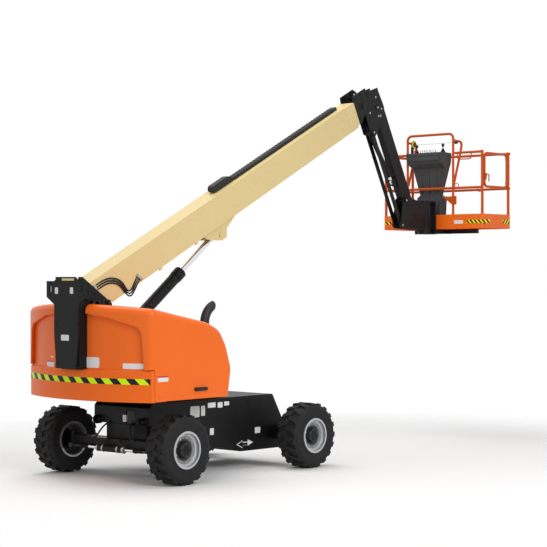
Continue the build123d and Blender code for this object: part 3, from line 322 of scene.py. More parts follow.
def hood_paint(name, colour, black):
    """Orange paint, with black hinge leaves where they meet the upright."""
    made = paint(name, colour, 0.34, coat=0.05, dust=0.08, scuff=0.2, peel=0.06)
    over_roof = made.z + made.x * 0.1941
    leaf = made.near(made.x, -1.71 + SLEW_X, 0.17, 0.004) * made.fade(over_roof, 1.396, 1.399)
    made.over(leaf * made.fade(made.size_of(made.y), 0.305, 0.300), black)
    return made


def plain_plastic(name, colour, roughness=0.5, grain=420.0, depth=0.25):
    """Moulded plastic with a fine grain."""
    made = Finish(name, specular=0.25)
    drift = made.noise(3.0, 4.0)
    pits = made.noise(grain, 3.0, 0.6)
    base = made.mix(drift, darker(colour, 0.85), darker(colour, 1.15))
    return made.surface(base, pits * 0.16 + drift * 0.08 + (roughness - 0.12), pits, depth, 0.0005)


def wheel_radius(finish):
    """Distance from the nearer axle line, in the wheels' own plane."""
    middle = (AXLE_X["front"] + AXLE_X["rear"]) / 2
    half = (AXLE_X["front"] - AXLE_X["rear"]) / 2
    along = finish.size_of(finish.x - middle) - half
    up = finish.z - TYRE_RADIUS
    return finish.math("SQRT", along * along + up * up)


def tyre_finish(name, colour):
    """Rubber with moulding rings on the side walls and dry dust in the tread."""
    made = Finish(name, specular=0.18)
    radius = wheel_radius(made)
    cloud = made.noise(9.0, 5.0, 0.6)
    grit = made.noise(160.0, 4.0, 0.7)
    tread = made.fade(radius, 0.36, 0.40)
    wall = made.fade(radius, 0.225, 0.24) * made.fade(radius, 0.37, 0.35)
    base = made.mix(cloud, darker(colour, 0.75), darker(colour, 1.35))
    dust = made.fade(grit * 0.35 + cloud * 0.65, 0.45, 0.75) * (tread * 0.10 + 0.05)
    rings = made.math("SINE", radius * 620.0) * wall
    return made.surface(made.mix(dust, base, (0.12, 0.115, 0.105)), cloud * 0.16 + dust * 0.2 + 0.62,
                        rings * 0.35 + grit * 0.5, 0.45, 0.0016)


def rim_finish(name, colour, black):
    """Silver rim with a black hub, painted shade over the dish inside the flange, a dark weld line and brake
    dust round the nuts.
    """
    made = Finish(name)
    radius = wheel_radius(made)
    fine = made.noise(90.0, 4.0, 0.6)
    cloud = made.noise(14.0, 5.0, 0.6)
    hub = made.fade(radius, 0.1315, 0.1295)
    # Painted shade: the dish inside the flange is painted far darker than the flange, standing in for the
    # shade in the rim's deep well.
    dish_painted_shade = made.fade(radius, 0.176, 0.166)
    base = made.mix(cloud, darker(colour, 0.84), darker(colour, 1.08))
    base = made.mix(dish_painted_shade, base, darker(colour, 0.42))
    weld = made.near(radius, 0.189, 0.002, 0.004)
    soot = made.fade(radius, 0.20, 0.13) * made.fade(cloud, 0.35, 0.75) * 0.35
    base = made.mix(weld * 0.45 + soot, base, (0.09, 0.085, 0.08))
    made.set("Metallic", (1.0 - hub) * 0.75)
    return made.surface(made.mix(hub, base, black), fine * 0.16 + cloud * 0.10 + hub * 0.12 + 0.20,
                        fine, 0.12, 0.0008)


def polished_rod(name, colour=(0.80, 0.80, 0.82)):
    made = Finish(name, metallic=1.0)
    streak = made.noise(60.0)
    return made.surface(made.mix(streak, darker(colour, 0.92), colour), streak * 0.08 + 0.07,
                        streak, 0.05, 0.0003)


def steering_rod(name, black):
    """Polished between the cylinder and the sleeves, black from there out."""
    made = polished_rod(name)
    ends = made.fade(made.size_of(made.y), 0.397, 0.400)
    made.over(ends, black)
    made.set("Metallic", 1.0 - ends)
    made.set("Roughness", ends * 0.35 + 0.1)
    return made


def heat_steel(name, colour):
    """Blackened exhaust steel with a rusty bloom near the engine."""
    made = Finish(name, metallic=0.4)
    cloud = made.noise(12.0, 6.0, 0.65)
    fine = made.noise(180.0, 4.0, 0.6)
    rust = made.fade(made.z, 1.9, 1.3) * made.fade(cloud, 0.4, 0.7) * 0.6
    return made.surface(made.mix(rust, colour, (0.16, 0.055, 0.022)), fine * 0.2 + rust * 0.2 + 0.42,
                        fine + cloud, 0.3, 0.0008)


def stripe_finish(name, yellow, black, pitch, lengthwise=0.0):
    """Slanted stripes that run across the machine, and along it where lengthwise is 1."""
    made = Finish(name, specular=0.2)
    run = (made.x * lengthwise + made.y + made.z * -0.9) / pitch
    share = made.math("FRACT", run)
    edge = 0.012
    stripe = made.fade(share, 0.0, edge) * made.fade(share, 0.5 + edge, 0.5)
    speck = made.noise(34.0, 5.0, 0.65)
    wear = made.fade(speck, 0.62, 0.8) * 0.3
    return made.surface(made.mix(wear, made.mix(stripe, black, yellow), (0.3, 0.26, 0.2)),
                        speck * 0.12 + 0.34, speck, 0.04, 0.0004)


def label_finish(name, colour):
    """Blank printed plate: a plain field with a faint cloud of handling marks."""
    made = Finish(name)
    cloud = made.noise(30.0, 4.0, 0.6)
    return made.surface(made.mix(cloud, darker(colour, 0.90), colour), cloud * 0.15 + 0.33,
                        cloud, 0.04, 0.0004)


def make_finishes(colours, stripe_pitch):
    """Every finish by name; those with an underscore are the record's own slots."""
    black, orange = tuple(colours.black), tuple(colours.orange)
    return {
        "tyre_black": tyre_finish("tyre rubber", tuple(colours.rubber)),
        "rim_silver": rim_finish("rim silver", tuple(colours.silver), black),
        "orange_paint": hood_paint("orange paint", orange, black),
        "cast_orange": paint("cast orange paint", orange, 0.40, dust=0.12, peel=0.2),
        "rail_orange": paint("rail paint", tuple(colours.rail), 0.36, dust=0.05, specular=0.15),
        "black_paint": paint("black paint", black, 0.42, dust=0.10, dust_colour=(0.07, 0.06, 0.05),
                             scuff=0.4, peel=0.1, specular=0.16),
        "cream_paint": paint("cream paint", tuple(colours.cream), 0.34, dust=0.10,
                             dust_colour=(0.36, 0.29, 0.17), peel=0.06),
        "chrome_rod": polished_rod("polished rod"),
        "track_plastic": plain_plastic("track plastic", (0.020, 0.020, 0.021)),
        "hose_rubber": plain_plastic("hose rubber", (0.018, 0.018, 0.018), 0.55, 260.0, 0.3),
        "pad_plastic": plain_plastic("pad plastic", (0.45, 0.43, 0.38)),
        "engine_iron": paint("engine paint", (0.05, 0.05, 0.055), 0.5, dust=0.6),
        "tank_plastic": plain_plastic("tank plastic", (0.03, 0.03, 0.03), 0.55),
        "console_grey": plain_plastic("console plastic", tuple(colours.console), 0.52, 380.0, 0.35),
        "exhaust_steel": heat_steel("exhaust steel", (0.016, 0.015, 0.015)),
        "steering rod": steering_rod("steering rod", black),
        "blank plate": label_finish("blank plate", (0.78, 0.78, 0.77)),
        "red strip": label_finish("red strip", (0.60, 0.02, 0.02)),
        "zinc": paint("zinc plating", (0.42, 0.42, 0.40), 0.38, metallic=0.8, dust=0.2),
        "knob black": plain_plastic("knob plastic", (0.012, 0.012, 0.012), 0.35, 500.0, 0.1),
        "knob red": plain_plastic("red knob plastic", (0.55, 0.01, 0.012), 0.3, 500.0, 0.1),
        "reel yellow": label_finish("reel yellow", (0.85, 0.62, 0.03)),
        "wire cover": label_finish("wire cover", (0.62, 0.60, 0.36)),
        "counterweight stripes": stripe_finish(
            "counterweight stripes", tuple(colours.hazard), black, stripe_pitch),
        "platform stripes": stripe_finish("platform stripes", (0.86, 0.78, 0.015), black, 0.072, 1.0),
    }


# ---------------------------------------------------------------- lines of sight


def node_surface(name):
    """A search tree over the triangles of a CAD node."""
    mesh_data = frame["nodes"][name].data
    return BVHTree.FromPolygons(
        [v.co.copy() for v in mesh_data.vertices], [list(p.vertices) for p in mesh_data.polygons])


def sight(px, py):
    """Direction from the camera through a point of the photograph."""
    forward = Vector((math.cos(CAMERA_YAW), math.sin(CAMERA_YAW), 0.0))
    right = Vector((math.sin(CAMERA_YAW), -math.cos(CAMERA_YAW), 0.0))
    centre = PHOTO_SIZE / 2
    return (forward * FOCAL_PIXELS + right * (px - centre) + Vector(UP) * (centre - py)).normalized()


def seen_at(surface, px, py):
    """Where a line of sight meets a surface, and which way the surface faces there."""
    ray = sight(px, py)
    place, normal = surface.ray_cast(CAMERA_PLACE, ray)[:2]
    if place is None:
        raise RuntimeError(f"nothing lies behind the place {px}, {py}")
    return place, -normal if normal.dot(ray) > 0 else normal


def on_plane(place, normal, px, py):
    """Where a line of sight meets the plane through a place."""
    ray = sight(px, py)
    return CAMERA_PLACE + ray * ((place - CAMERA_PLACE).dot(normal) / ray.dot(normal))


# ---------------------------------------------------------------- shapes


def circle(radius, segments):
    """Points of a circle round the origin, as pairs."""
    turns = (2 * math.pi * k / segments for k in range(segments))
    return [(radius * math.cos(turn), radius * math.sin(turn)) for turn in turns]


def button(radius, top, foot, chamfer, drop):
    """Outline of a low round head with a chamfered edge."""
    return (0.0, top), (radius - chamfer, top), (radius, top - drop), (radius, -foot), (0.0, -foot)


def stepped_cap(boss, rim, heights, foot, bevel=0.004):
    """Outline of a pin's cap: a raised boss on a flange; heights of the boss, flange and edge."""
    top, step, edge = heights
    return ((0.0, top), (boss, top), (boss + 0.004, step), (rim - bevel, step), (rim, edge),
            (rim, -foot), (0.0, -foot))


def new_piece(name, mesh_data, finish, body):
    """Finishes a piece: smooth by angle, one material, riding on its body."""
    piece = bpy.data.objects.new(name, mesh_data)
    bpy.context.scene.collection.objects.link(piece)
    mesh_data.materials.clear()
    mesh_data.materials.append(FINISHES[finish].material)
    mesh_data.shade_smooth()
    mesh_data.set_sharp_from_angle(angle=math.radians(35))
    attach(piece, body)


class Shape:
    """A piece in the making, from blocks, turned forms, bars, plates and stickers."""

    def __init__(self):
        self.mesh = bmesh.new()

    def close(self, name):
        """The shape as mesh data, its faces turned outwards."""
        mesh_data = bpy.data.meshes.new(name)
        bmesh.ops.recalc_face_normals(self.mesh, faces=self.mesh.faces)
        self.mesh.to_mesh(mesh_data)
        self.mesh.free()
        return mesh_data

    def piece(self, name, finish, body, slot=None):
        new_piece(name, self.close(name), finish, body)

    def skin(self, rings, caps=False):
        """Faces between rings of points; a ring of one point closes a turned form."""
        rings = [[self.mesh.verts.new(point) for point in ring] for ring in rings]
        for lower, upper in zip(rings, rings[1:]):
            count = max(len(lower), len(upper))
            for k in range(count):
                after = (k + 1) % count
                corners = (lower[k % len(lower)], lower[after % len(lower)],
                           upper[after % len(upper)], upper[k % len(upper)])
                self.mesh.faces.new(dict.fromkeys(corners))
        if caps:
            self.mesh.faces.new(rings[0])
            self.mesh.faces.new(rings[-1][::-1])

    def block(self, place, size, edge):
        """A block with rounded edges, centred on a matrix's origin."""
        made = bmesh.ops.create_cube(self.mesh, size=1.0)["verts"]
        bmesh.ops.scale(self.mesh, vec=size, verts=made)
        edges = list({e for v in made for e in v.link_edges})
        made = bmesh.ops.bevel(
            self.mesh, geom=edges, offset=edge, segments=2, profile=0.6, affect="EDGES")
        verts = {v for f in made["faces"] for v in f.verts}
        verts = {v for seed in verts for f in seed.link_faces for v in f.verts}
        bmesh.ops.transform(self.mesh, matrix=place, verts=list(verts))

    def turned(self, place, outline, segments=24):
        """A turned form round a matrix's Z axis, from (radius, height) pairs."""
        self.skin([
            [place @ Vector((x, y, height)) for x, y in circle(radius, segments if radius > 0 else 1)]
            for radius, height in outline])

    def tube(self, points, radius, segments=10, bend=0.03):
        """A round bar along points, its corners rounded by arcs of about the bend radius."""
        corners = [Vector(p) for p in points]
        way = [corners[0]]
        for before, corner, after in zip(corners, corners[1:], corners[2:]):
            to_before, to_after = before - corner, after - corner
            cut = min(bend, to_before.length * 0.45, to_after.length * 0.45)
            start = corner + to_before.normalized() * cut
            end = corner + to_after.normalized() * cut
            for step in range(7):
                t = step / 6
                way.append(start * (1 - t) ** 2 + corner * 2 * t * (1 - t) + end * t * t)
        way.append(corners[-1])
        normal = None
        rings = []
        for before, point, after in zip(way[:1] + way, way, way[1:] + way[-1:]):
            heading = (after - before).normalized()
            normal = normal or heading.orthogonal()
            normal = (normal - heading * normal.dot(heading)).normalized()
            side = heading.cross(normal)
            rings.append([point + normal * x + side * y for x, y in circle(radius, segments)])
        self.skin(rings, caps=True)

    def slab(self, outline, thickness):
        """A flat plate from a closed outline of points, thickened along its normal."""
        face = self.mesh.faces.new([self.mesh.verts.new(p) for p in outline])
        face.normal_update()
        grown = bmesh.ops.extrude_face_region(self.mesh, geom=[face])
        moved = [v for v in grown["geom"] if isinstance(v, bmesh.types.BMVert)]
        bmesh.ops.translate(self.mesh, vec=face.normal * -thickness, verts=moved)

    def sticker(self, surface, bounds, thickness):
        """A thin plate that follows a surface, where the photograph shows its rectangle of pixels."""
        left, top, right, bottom = bounds
        middle_x, middle_y = (left + right) / 2, (top + bottom) / 2
        centre, out = seen_at(surface, middle_x, middle_y)
        place = facing(centre, out)
        back = place.inverted()
        west, east = (back @ on_plane(centre, out, x, middle_y) for x in (left, right))
        south, north = (back @ on_plane(centre, out, middle_x, y) for y in (bottom, top))
        half_x, half_y = abs(east.x - west.x) / 2, abs(north.y - south.y) / 2
        cut = min(half_x, half_y) * STICKER_CORNER
        columns, rows = STICKER_COLUMNS, STICKER_ROWS
        cells = {}
        for row in range(rows + 1):
            for column in range(columns + 1):
                u = (column / columns * 2 - 1) * half_x
                v = (row / rows * 2 - 1) * half_y
                if row in (0, rows) and column in (0, columns):
                    u -= math.copysign(cut, u)
                    v -= math.copysign(cut, v)
                hit = surface.ray_cast(place @ Vector((u, v, 0.12)), -out, 0.4)[0]
                base = place @ Vector((u, v, 0.0)) if hit is None else hit
                cells[column, row] = [
                    self.mesh.verts.new(base + out * lift) for lift in (thickness, -0.0002)]
        for column, row in cells:
            if column < columns and row < rows:
                ring = [cells[column + i, row + j] for i, j in ((0, 0), (1, 0), (1, 1), (0, 1))]
                self.mesh.faces.new([cell[0] for cell in ring])
                self.mesh.faces.new([cell[1] for cell in reversed(ring)])
        rim = [(c, 0) for c in range(columns)] + [(columns, r) for r in range(rows)]
        rim += [(columns - c, rows - r) for c, r in rim]
        for here, after in zip(rim, rim[1:] + rim[:1]):
            (top_a, low_a), (top_b, low_b) = cells[here], cells[after]
            self.mesh.faces.new((top_a, low_a, low_b, top_b))


# ---------------------------------------------------------------- geometry nodes


class Tree(Nodes):
    """A Geometry Nodes tree with named inputs, ending in Realize Instances and Set Material."""

    def __init__(self, name, **inputs):
        super().__init__(bpy.data.node_groups.new(name, "GeometryNodeTree"))
        kinds = {int: "NodeSocketInt", float: "NodeSocketFloat", tuple: "NodeSocketVector"}
        face = self.tree.interface
        self.ids = {}
        for label, value in {"Geometry": None, **inputs, "Material": None}.items():
            kind = kinds.get(type(value), f"NodeSocket{label}")
            socket = face.new_socket(label, in_out="INPUT", socket_type=kind)
            if value is not None:
                socket.default_value = value
            self.ids[label] = socket.identifier
        face.new_socket("Geometry", in_out="OUTPUT", socket_type="NodeSocketGeometry")
        start = self.node("NodeGroupInput")
        self.given = {label: Value(self, start.outputs[label]) for label in self.ids}

    def cylinder(self, sides, radius, depth):
        return self.node("GeometryNodeMeshCylinder", {"fill_type": "NGON"}, {
            "Vertices": sides, "Radius": radius, "Depth": depth}).outputs[0]

    def join(self, *parts):
        both = self.node("GeometryNodeJoinGeometry")
        for part in parts:
            self.tree.links.new(part, both.inputs[0])
        return both.outputs[0]

    def spread(self, points, instance, **more):
        """Ends the tree: the instance at each point, made real and given its material."""
        spread = self.node("GeometryNodeInstanceOnPoints", {}, {
            "Points": points, "Instance": instance, **more})
        real = self.node("GeometryNodeRealizeInstances", {}, {0: spread.outputs[0]})
        done = self.node("GeometryNodeSetMaterial", {}, {
            0: real.outputs[0], "Material": self.given["Material"]})
        self.node("NodeGroupOutput", {}, {0: done.outputs[0]})
        return self

    def run(self, name, mesh_data, values, finish):
        """The tree's result on a mesh, as plain mesh data."""
        carrier = bpy.data.objects.new(name + " carrier", mesh_data)
        bpy.context.scene.collection.objects.link(carrier)
        modifier = carrier.modifiers.new("tree", "NODES")
        modifier.node_group = self.tree
        for label, value in {**values, "Material": FINISHES[finish].material}.items():
            modifier[self.ids[label]] = value
        carrier.update_tag()
        bpy.context.view_layer.update()
        graph = bpy.context.evaluated_depsgraph_get()
        result = bpy.data.meshes.new_from_object(carrier.evaluated_get(graph))
        result.name = name
        bpy.data.objects.remove(carrier)
        return result


def bolt_tree():
    """A hexagon head on a washer at each vertex, turned to the vertex's own facing."""
    tree = Tree("bolt heads", Radius=0.012, Height=0.009, Sides=6)
    radius, height = tree.given["Radius"], tree.given["Height"]
    both = tree.join(tree.cylinder(tree.given["Sides"], radius, height),
                     tree.cylinder(16, radius * 1.45, height * 0.35))
    way = tree.node("GeometryNodeInputNamedAttribute", {"data_type": "FLOAT_VECTOR"}, {"Name": "facing"})
    turn = tree.node("FunctionNodeAlignRotationToVector", {"axis": "Z"}, {"Vector": way.outputs[0]})
    return tree.spread(tree.given["Geometry"], both, Rotation=turn.outputs[0])


def nut_ring_tree():
    """Nuts spaced round a circle."""
    tree = Tree("nut ring", Count=9, Circle=0.15, Radius=0.015, Height=0.02)
    radius, height = tree.given["Radius"], tree.given["Height"]
    ring = tree.node("GeometryNodeMeshCircle", {}, {
        "Vertices": tree.given["Count"], "Radius": tree.given["Circle"]})
    both = tree.join(tree.cylinder(6, radius, height), tree.cylinder(10, radius * 0.5, height * 1.7))
    return tree.spread(ring.outputs[0], both)


def row_tree():
    """The given mesh repeated along a straight row."""
    tree = Tree("row of links", Count=10, Step=(0.05, 0.0, 0.0))
    line = tree.node("GeometryNodeMeshLine", {"mode": "OFFSET"}, {
        "Count": tree.given["Count"], "Offset": tree.given["Step"]})
    return tree.spread(line.outputs[0], tree.given["Geometry"])


def stud_tree():
    """Low raised studs on a grid over a floor."""
    tree = Tree("floor studs", Length=0.7, Width=1.8, Columns=18, Rows=46, Radius=0.006)
    grid = tree.node("GeometryNodeMeshGrid", {}, {
        "Size X": tree.given["Length"], "Size Y": tree.given["Width"],
        "Vertices X": tree.given["Columns"], "Vertices Y": tree.given["Rows"]})
    stud = tree.node("GeometryNodeMeshCone", {"fill_type": "NGON"}, {
        "Vertices": 6, "Radius Bottom": tree.given["Radius"], "Radius Top": 0.0035, "Depth": 0.002})
    return tree.spread(grid.outputs[0], stud.outputs[0])


def on_both_sides(half, places, where=at):
    """Bolt places on the right and the left face, from pairs of the two other measures."""
    return [(where(first, sign * half, second), (0, sign, 0))
            for sign in (-1, 1) for first, second in places]


def add_bolts(name, body, finish, places, radius):
    """Bolt heads at (place, facing) pairs, as one piece."""
    mesh_data = bpy.data.meshes.new(name + " points")
    mesh_data.from_pydata([tuple(place) for place, _ in places], [], [])
    ways = mesh_data.attributes.new("facing", "FLOAT_VECTOR", "POINT")
    ways.data.foreach_set("vector", [part for _, out in places for part in Vector(out).normalized()])
    result = TREES["bolts"].run(name, mesh_data, {"Radius": radius, "Height": radius * 0.75}, finish)
    new_piece(name, result, finish, body)


# ---------------------------------------------------------------- operators


class BOOM_OT_paint(bpy.types.Operator):
    """Gives every CAD node its finish"""

    bl_idname = "boomlift.paint"
    bl_label = "Paint the machine"

    def execute(self, context):
        scene = context.scene
        FINISHES.update(make_finishes(scene.boom_colours, scene.boom_sizes.stripe_pitch))
        TREES.update(bolts=bolt_tree(), nuts=nut_ring_tree(), row=row_tree(), studs=stud_tree())
        for subpart in frame["record"]["subparts"]:
            node = frame["nodes"][subpart["node"]]
            finish = "steering rod" if subpart["node"] == "steer_rod" else subpart["material_slot"]
            for material_slot in node.material_slots:
                material_slot.material = FINISHES[finish].material
        return {"FINISHED"}


class BOOM_OT_wheels(bpy.types.Operator):
    """Nuts, hub caps and valves on the wheels"""

    bl_idname = "boomlift.wheels"
    bl_label = "Wheel fittings"

    def execute(self, context):
        sizes = context.scene.boom_sizes
        for end, axle_x in AXLE_X.items():
            for side, sign in SIDES.items():
                wheel = f"{end}_{side}"
                body, out = f"{end}_wheel_{side}", (0, sign, 0)
                rim, hub, stem = (
                    Vector((axle_x, sign * (WHEEL_FACE - depth), TYRE_RADIUS + rise))
                    for depth, rise in ((0.057, 0.0), (0.024, 0.0), (0.048, 0.196)))
                nuts = TREES["nuts"].run(f"wheel_nuts_{wheel}", bpy.data.meshes.new("empty"), {
                    "Count": sizes.nut_count, "Circle": sizes.nut_circle,
                    "Radius": sizes.nut_radius, "Height": 0.020}, "zinc")
                nuts.transform(facing(rim, out))
                new_piece(f"wheel_nuts_{wheel}", nuts, "zinc", body)
                cap = Shape()
                cap.turned(facing(hub, out), stepped_cap(0.030, 0.062, (0.006, 0.003, 0.0), 0.004), 32)
                for x, y in circle(0.072, 6):
                    stud = facing(hub, out) @ Matrix.Translation((x, y, 0.0))
                    cap.turned(stud, button(0.007, 0.005, 0.004, 0.001, 0.003), 6)
                cap.piece(f"hub_cap_{wheel}", "black_paint", body)
                valve = Shape()
                valve.turned(facing(stem, (0, sign, -0.35)), (
                    (0.0, 0.044), (0.0035, 0.044), (0.0045, 0.040), (0.0045, 0.026), (0.0030, 0.024),
                    (0.0030, 0.010), (0.0065, 0.006), (0.0065, 0.0), (0.0, 0.0)), 12)
                valve.piece(f"valve_{wheel}", "knob black", body, "tyre_black")
        return {"FINISHED"}


# Blank plates by body and node: name, finish, then left, top, right, bottom in the photograph
PLATES = {
    ("turntable", "rear_cover_right"): (
        ("cover_plate_wide", "blank plate", 79.2, 357.0, 98.9, 367.6),
        ("cover_plate_low", "blank plate", 122.6, 363.6, 143.3, 369.2)),
    ("turntable", "upright"): (
        ("upright_plate", "blank plate", 61.0, 334.8, 68.9, 340.6),
        ("upright_mark_left", "blank plate", 54.9, 287.4, 58.0, 293.8),
        ("upright_mark_right", "blank plate", 69.9, 287.4, 73.1, 293.8),
        ("upright_crown_strip", "cream_paint", 61.8, 278.4, 74.0, 280.6)),
    ("turntable", "rear_cover_left"): (
        ("cover_plate_left", "blank plate", 47.0, 361.9, 53.8, 366.8),
        ("cover_plate_left_top", "red strip", 47.0, 360.4, 53.8, 361.8),
        ("cover_plate_small", "blank plate", 50.9, 356.0, 53.6, 357.2)),
    ("hood_right_body", "hood_right"): (
        ("hood_plate", "blank plate", 157.8, 377.7, 168.5, 381.9),
        ("hood_plate_top", "red strip", 157.8, 376.0, 168.5, 377.5)),
    ("chassis", "chassis_frame"): (
        ("chassis_plate_tall", "blank plate", 190.2, 406.2, 199.6, 417.4),
        ("chassis_plate_slim", "blank plate", 201.0, 405.8, 205.0, 415.8),
        ("chassis_plate_mid", "blank plate", 207.8, 402.6, 215.6, 407.6),
        ("chassis_plate_right", "blank plate", 217.6, 402.2, 222.6, 407.6),
        ("chassis_plate_end", "blank plate", 224.0, 401.4, 229.1, 405.4),
        ("chassis_plate_low", "blank plate", 209.9, 428.2, 213.8, 435.0),
        ("chassis_plate_front", "blank plate", 254.8, 427.0, 260.2, 433.0),
        ("chassis_rear_plate", "blank plate", 122.8, 415.0, 129.4, 421.8)),
    ("platform", "platform_floor"): (
        ("toe_plate", "blank plate", 454.0, 220.2, 463.0, 223.7),
        ("toe_stripes_near", "platform stripes", 466.4, 219.4, 490.0, 223.0),
        ("toe_stripes_end", "platform stripes", 502.9, 219.8, 509.3, 224.0),
        ("toe_stripes_left", "platform stripes", 384.6, 221.9, 391.4, 224.7)),
}
# Arrows on the chassis side: name, finish, then tip, heel, top and bottom in the photograph, and thickness
ARROWS = (
    ("arrow_white", "blank plate", 253.0, 242.0, 440.0, 446.4, 0.0012),
    ("arrow_edge", "blank plate", 236.4, 248.2, 439.4, 447.4, 0.0007),
    ("arrow_black", "black_paint", 237.6, 247.4, 440.2, 446.8, 0.0013),
)
ARROW_OUTLINE = ((0.0, 0.36), (0.5, 0.36), (0.5, 1.0), (1.0, 0.0), (0.5, -1.0), (0.5, -0.36), (0.0, -0.36))


class BOOM_OT_plates(bpy.types.Operator):
    """Blank plates and arrows, each lying on what carries it"""

    bl_idname = "boomlift.plates"
    bl_label = "Blank plates"

    def execute(self, context):
        thickness = context.scene.boom_sizes.plate_thickness
        for (body, node), plates in PLATES.items():
            surface = node_surface(node)
            for name, finish, *bounds in plates:
                plate = Shape()
                plate.sticker(surface, bounds, thickness)
                plate.piece(name, finish, body)
        surface = node_surface("chassis_frame")
        for name, finish, tip, heel, top, bottom, lift in ARROWS:
            middle = (top + bottom) / 2
            start, end = seen_at(surface, heel, middle)[0], seen_at(surface, tip, middle)[0]
            reach = end.x - start.x
            tall = abs(seen_at(surface, heel, top)[0].z - seen_at(surface, heel, bottom)[0].z) / 2
            arrow = Shape()
            arrow.slab([Vector((start.x + reach * u, -CHASSIS_HALF - lift, start.z + tall * v))
                        for u, v in ARROW_OUTLINE], math.copysign(lift, -reach))
            arrow.piece(name, finish, "chassis")
        return {"FINISHED"}


class BOOM_OT_turntable(bpy.types.Operator):
    """Striped band, hood latches, bolts and pin caps of the turntable"""

    bl_idname = "boomlift.turntable"
    bl_label = "Turntable fittings"

    def execute(self, context):
        sizes = context.scene.boom_sizes
        surface = node_surface("counterweight")
        columns, half, low, high = 64, 1.062, 1.208, 1.276
        sections = []
        for k in range(columns + 1):
            y = half - 2 * half * k / columns
            low_hit, high_hit = (surface.ray_cast(at(-2.4, y, z), AHEAD)[0] for z in (low, high))
            outer, inner = Vector((-sizes.plate_thickness, 0, 0)), Vector((0.0004, 0, 0))
            sections.append((low_hit + outer, high_hit + outer, high_hit + inner, low_hit + inner))
        band = Shape()
        band.skin(sections, caps=True)
        band.piece("counterweight_stripes", "counterweight stripes", "turntable")

        for side, sign in SIDES.items():
            centre, out = at(-0.887, sign * 1.104, 1.125), (0, sign, 0)
            handle, lock = (centre + Vector((x, sign * 0.012, z)) for x, z in ((-0.055, -0.004), (0.06, 0.0)))
            latch = Shape()
            latch.block(facing(centre, out), (0.206, 0.040, 0.030), 0.006)
            latch.block(facing(handle, out), (0.085, 0.026, 0.014), 0.004)
            latch.turned(facing(lock, out), button(0.012, 0.008, 0.004, 0.003, 0.003), 20)
            latch.piece(f"hood_latch_{side}", "knob black", f"hood_{side}_body", "black_paint")

        heads = [(at(UPRIGHT_BACK, sign * y, z), BACK) for sign in (-1, 1)
                 for y, z in ((0.29, 2.39), (0.29, 2.245), (0.16, 1.42), (0.185, 1.9))]
        heads += on_both_sides(0.215, ((-1.98, 2.30), (-1.78, 2.26)))
        add_bolts("upright_bolts", "turntable", "black_paint", heads, sizes.bolt_radius)
        caps = Shape()
        for sign in (-1, 1):
            cap, keeper = (facing(at(-1.9, sign * y, 2.225), (0, sign, 0)) for y in (0.240, 0.219))
            caps.turned(cap, stepped_cap(0.030, 0.056, (0.010, 0.006, 0.002), 0.004), 32)
            caps.turned(keeper, (
                (0.062, 0.004), (0.078, 0.004), (0.080, 0.001), (0.080, -0.004), (0.062, -0.004),
                (0.062, 0.004)), 40)
        caps.piece("pivot_caps", "black_paint", "turntable")
        return {"FINISHED"}


def add_track_links(pitch):
    """Links of the hose track along the boom's back."""
    link = Shape()
    for side in (-1, 1):
        place = boom_frame(TRACK_START, side * 0.051, TRACK_FOOT + 0.022)
        link.block(place, (pitch * 0.86, 0.007, 0.038), 0.002)
        pin = boom_at(TRACK_START + pitch * 0.3, side * 0.0545, TRACK_FOOT + 0.022)
        link.turned(facing(pin, (0, side, 0)), button(0.008, 0.003, 0.002, 0.002, 0.002), 8)
    link.block(boom_frame(TRACK_START, 0.0, TRACK_FOOT + 0.0435), (pitch * 0.30, 0.104, 0.006), 0.0018)
    step = boom_at(pitch, 0.0, 0.0) - PIVOT
    count = int((TRACK_END - TRACK_START) / pitch)
    values = {"Count": count, "Step": tuple(step)}
    result = TREES["row"].run("track_links", link.close("link"), values, "track_plastic")
    new_piece("track_links", result, "track_plastic", "boom")


def add_boom_hoses():
    """Three hoses from the upright's side along the boom, and the clamps that hold them."""
    hoses = Shape()
    last = len(HOSE_WAY) - 1
    for row in (-1, 0, 1):
        points = []
        for k, (x, z) in enumerate(HOSE_WAY):
            before, after = Vector(HOSE_WAY[max(k - 1, 0)]), Vector(HOSE_WAY[min(k + 1, last)])
            offset = (after - before).normalized() * HOSE_PITCH * row
            tuck = 0.018 if k in (0, last) else 0.0
            points.append(at(x - offset.y, tuck - 0.1635, z + offset.x))
        hoses.tube(points, 0.0095, 14, bend=0.11)
    hoses.piece("boom_hoses", "hose_rubber", "boom", "track_plastic")
    clamps = Shape()
    for (x, z), (to_x, to_z) in ((HOSE_WAY[0], HOSE_WAY[1]), (HOSE_WAY[-1], HOSE_WAY[-2])):
        heading = Vector((to_x - x, 0.0, to_z - z)).normalized()
        clamp = facing(at(x, -0.1615, z) + heading * 0.025, RIGHT, heading)
        clamps.block(clamp, (0.096, 0.034, 0.034), 0.004)
        for side in (-1, 1):
            bolt = clamp @ Matrix.Translation((side * 0.037, 0.0, 0.017))
            clamps.turned(bolt, button(0.007, 0.006, 0.002, 0.001, 0.002), 6)
    clamps.piece("hose_clamps", "zinc", "boom", "rim_silver")


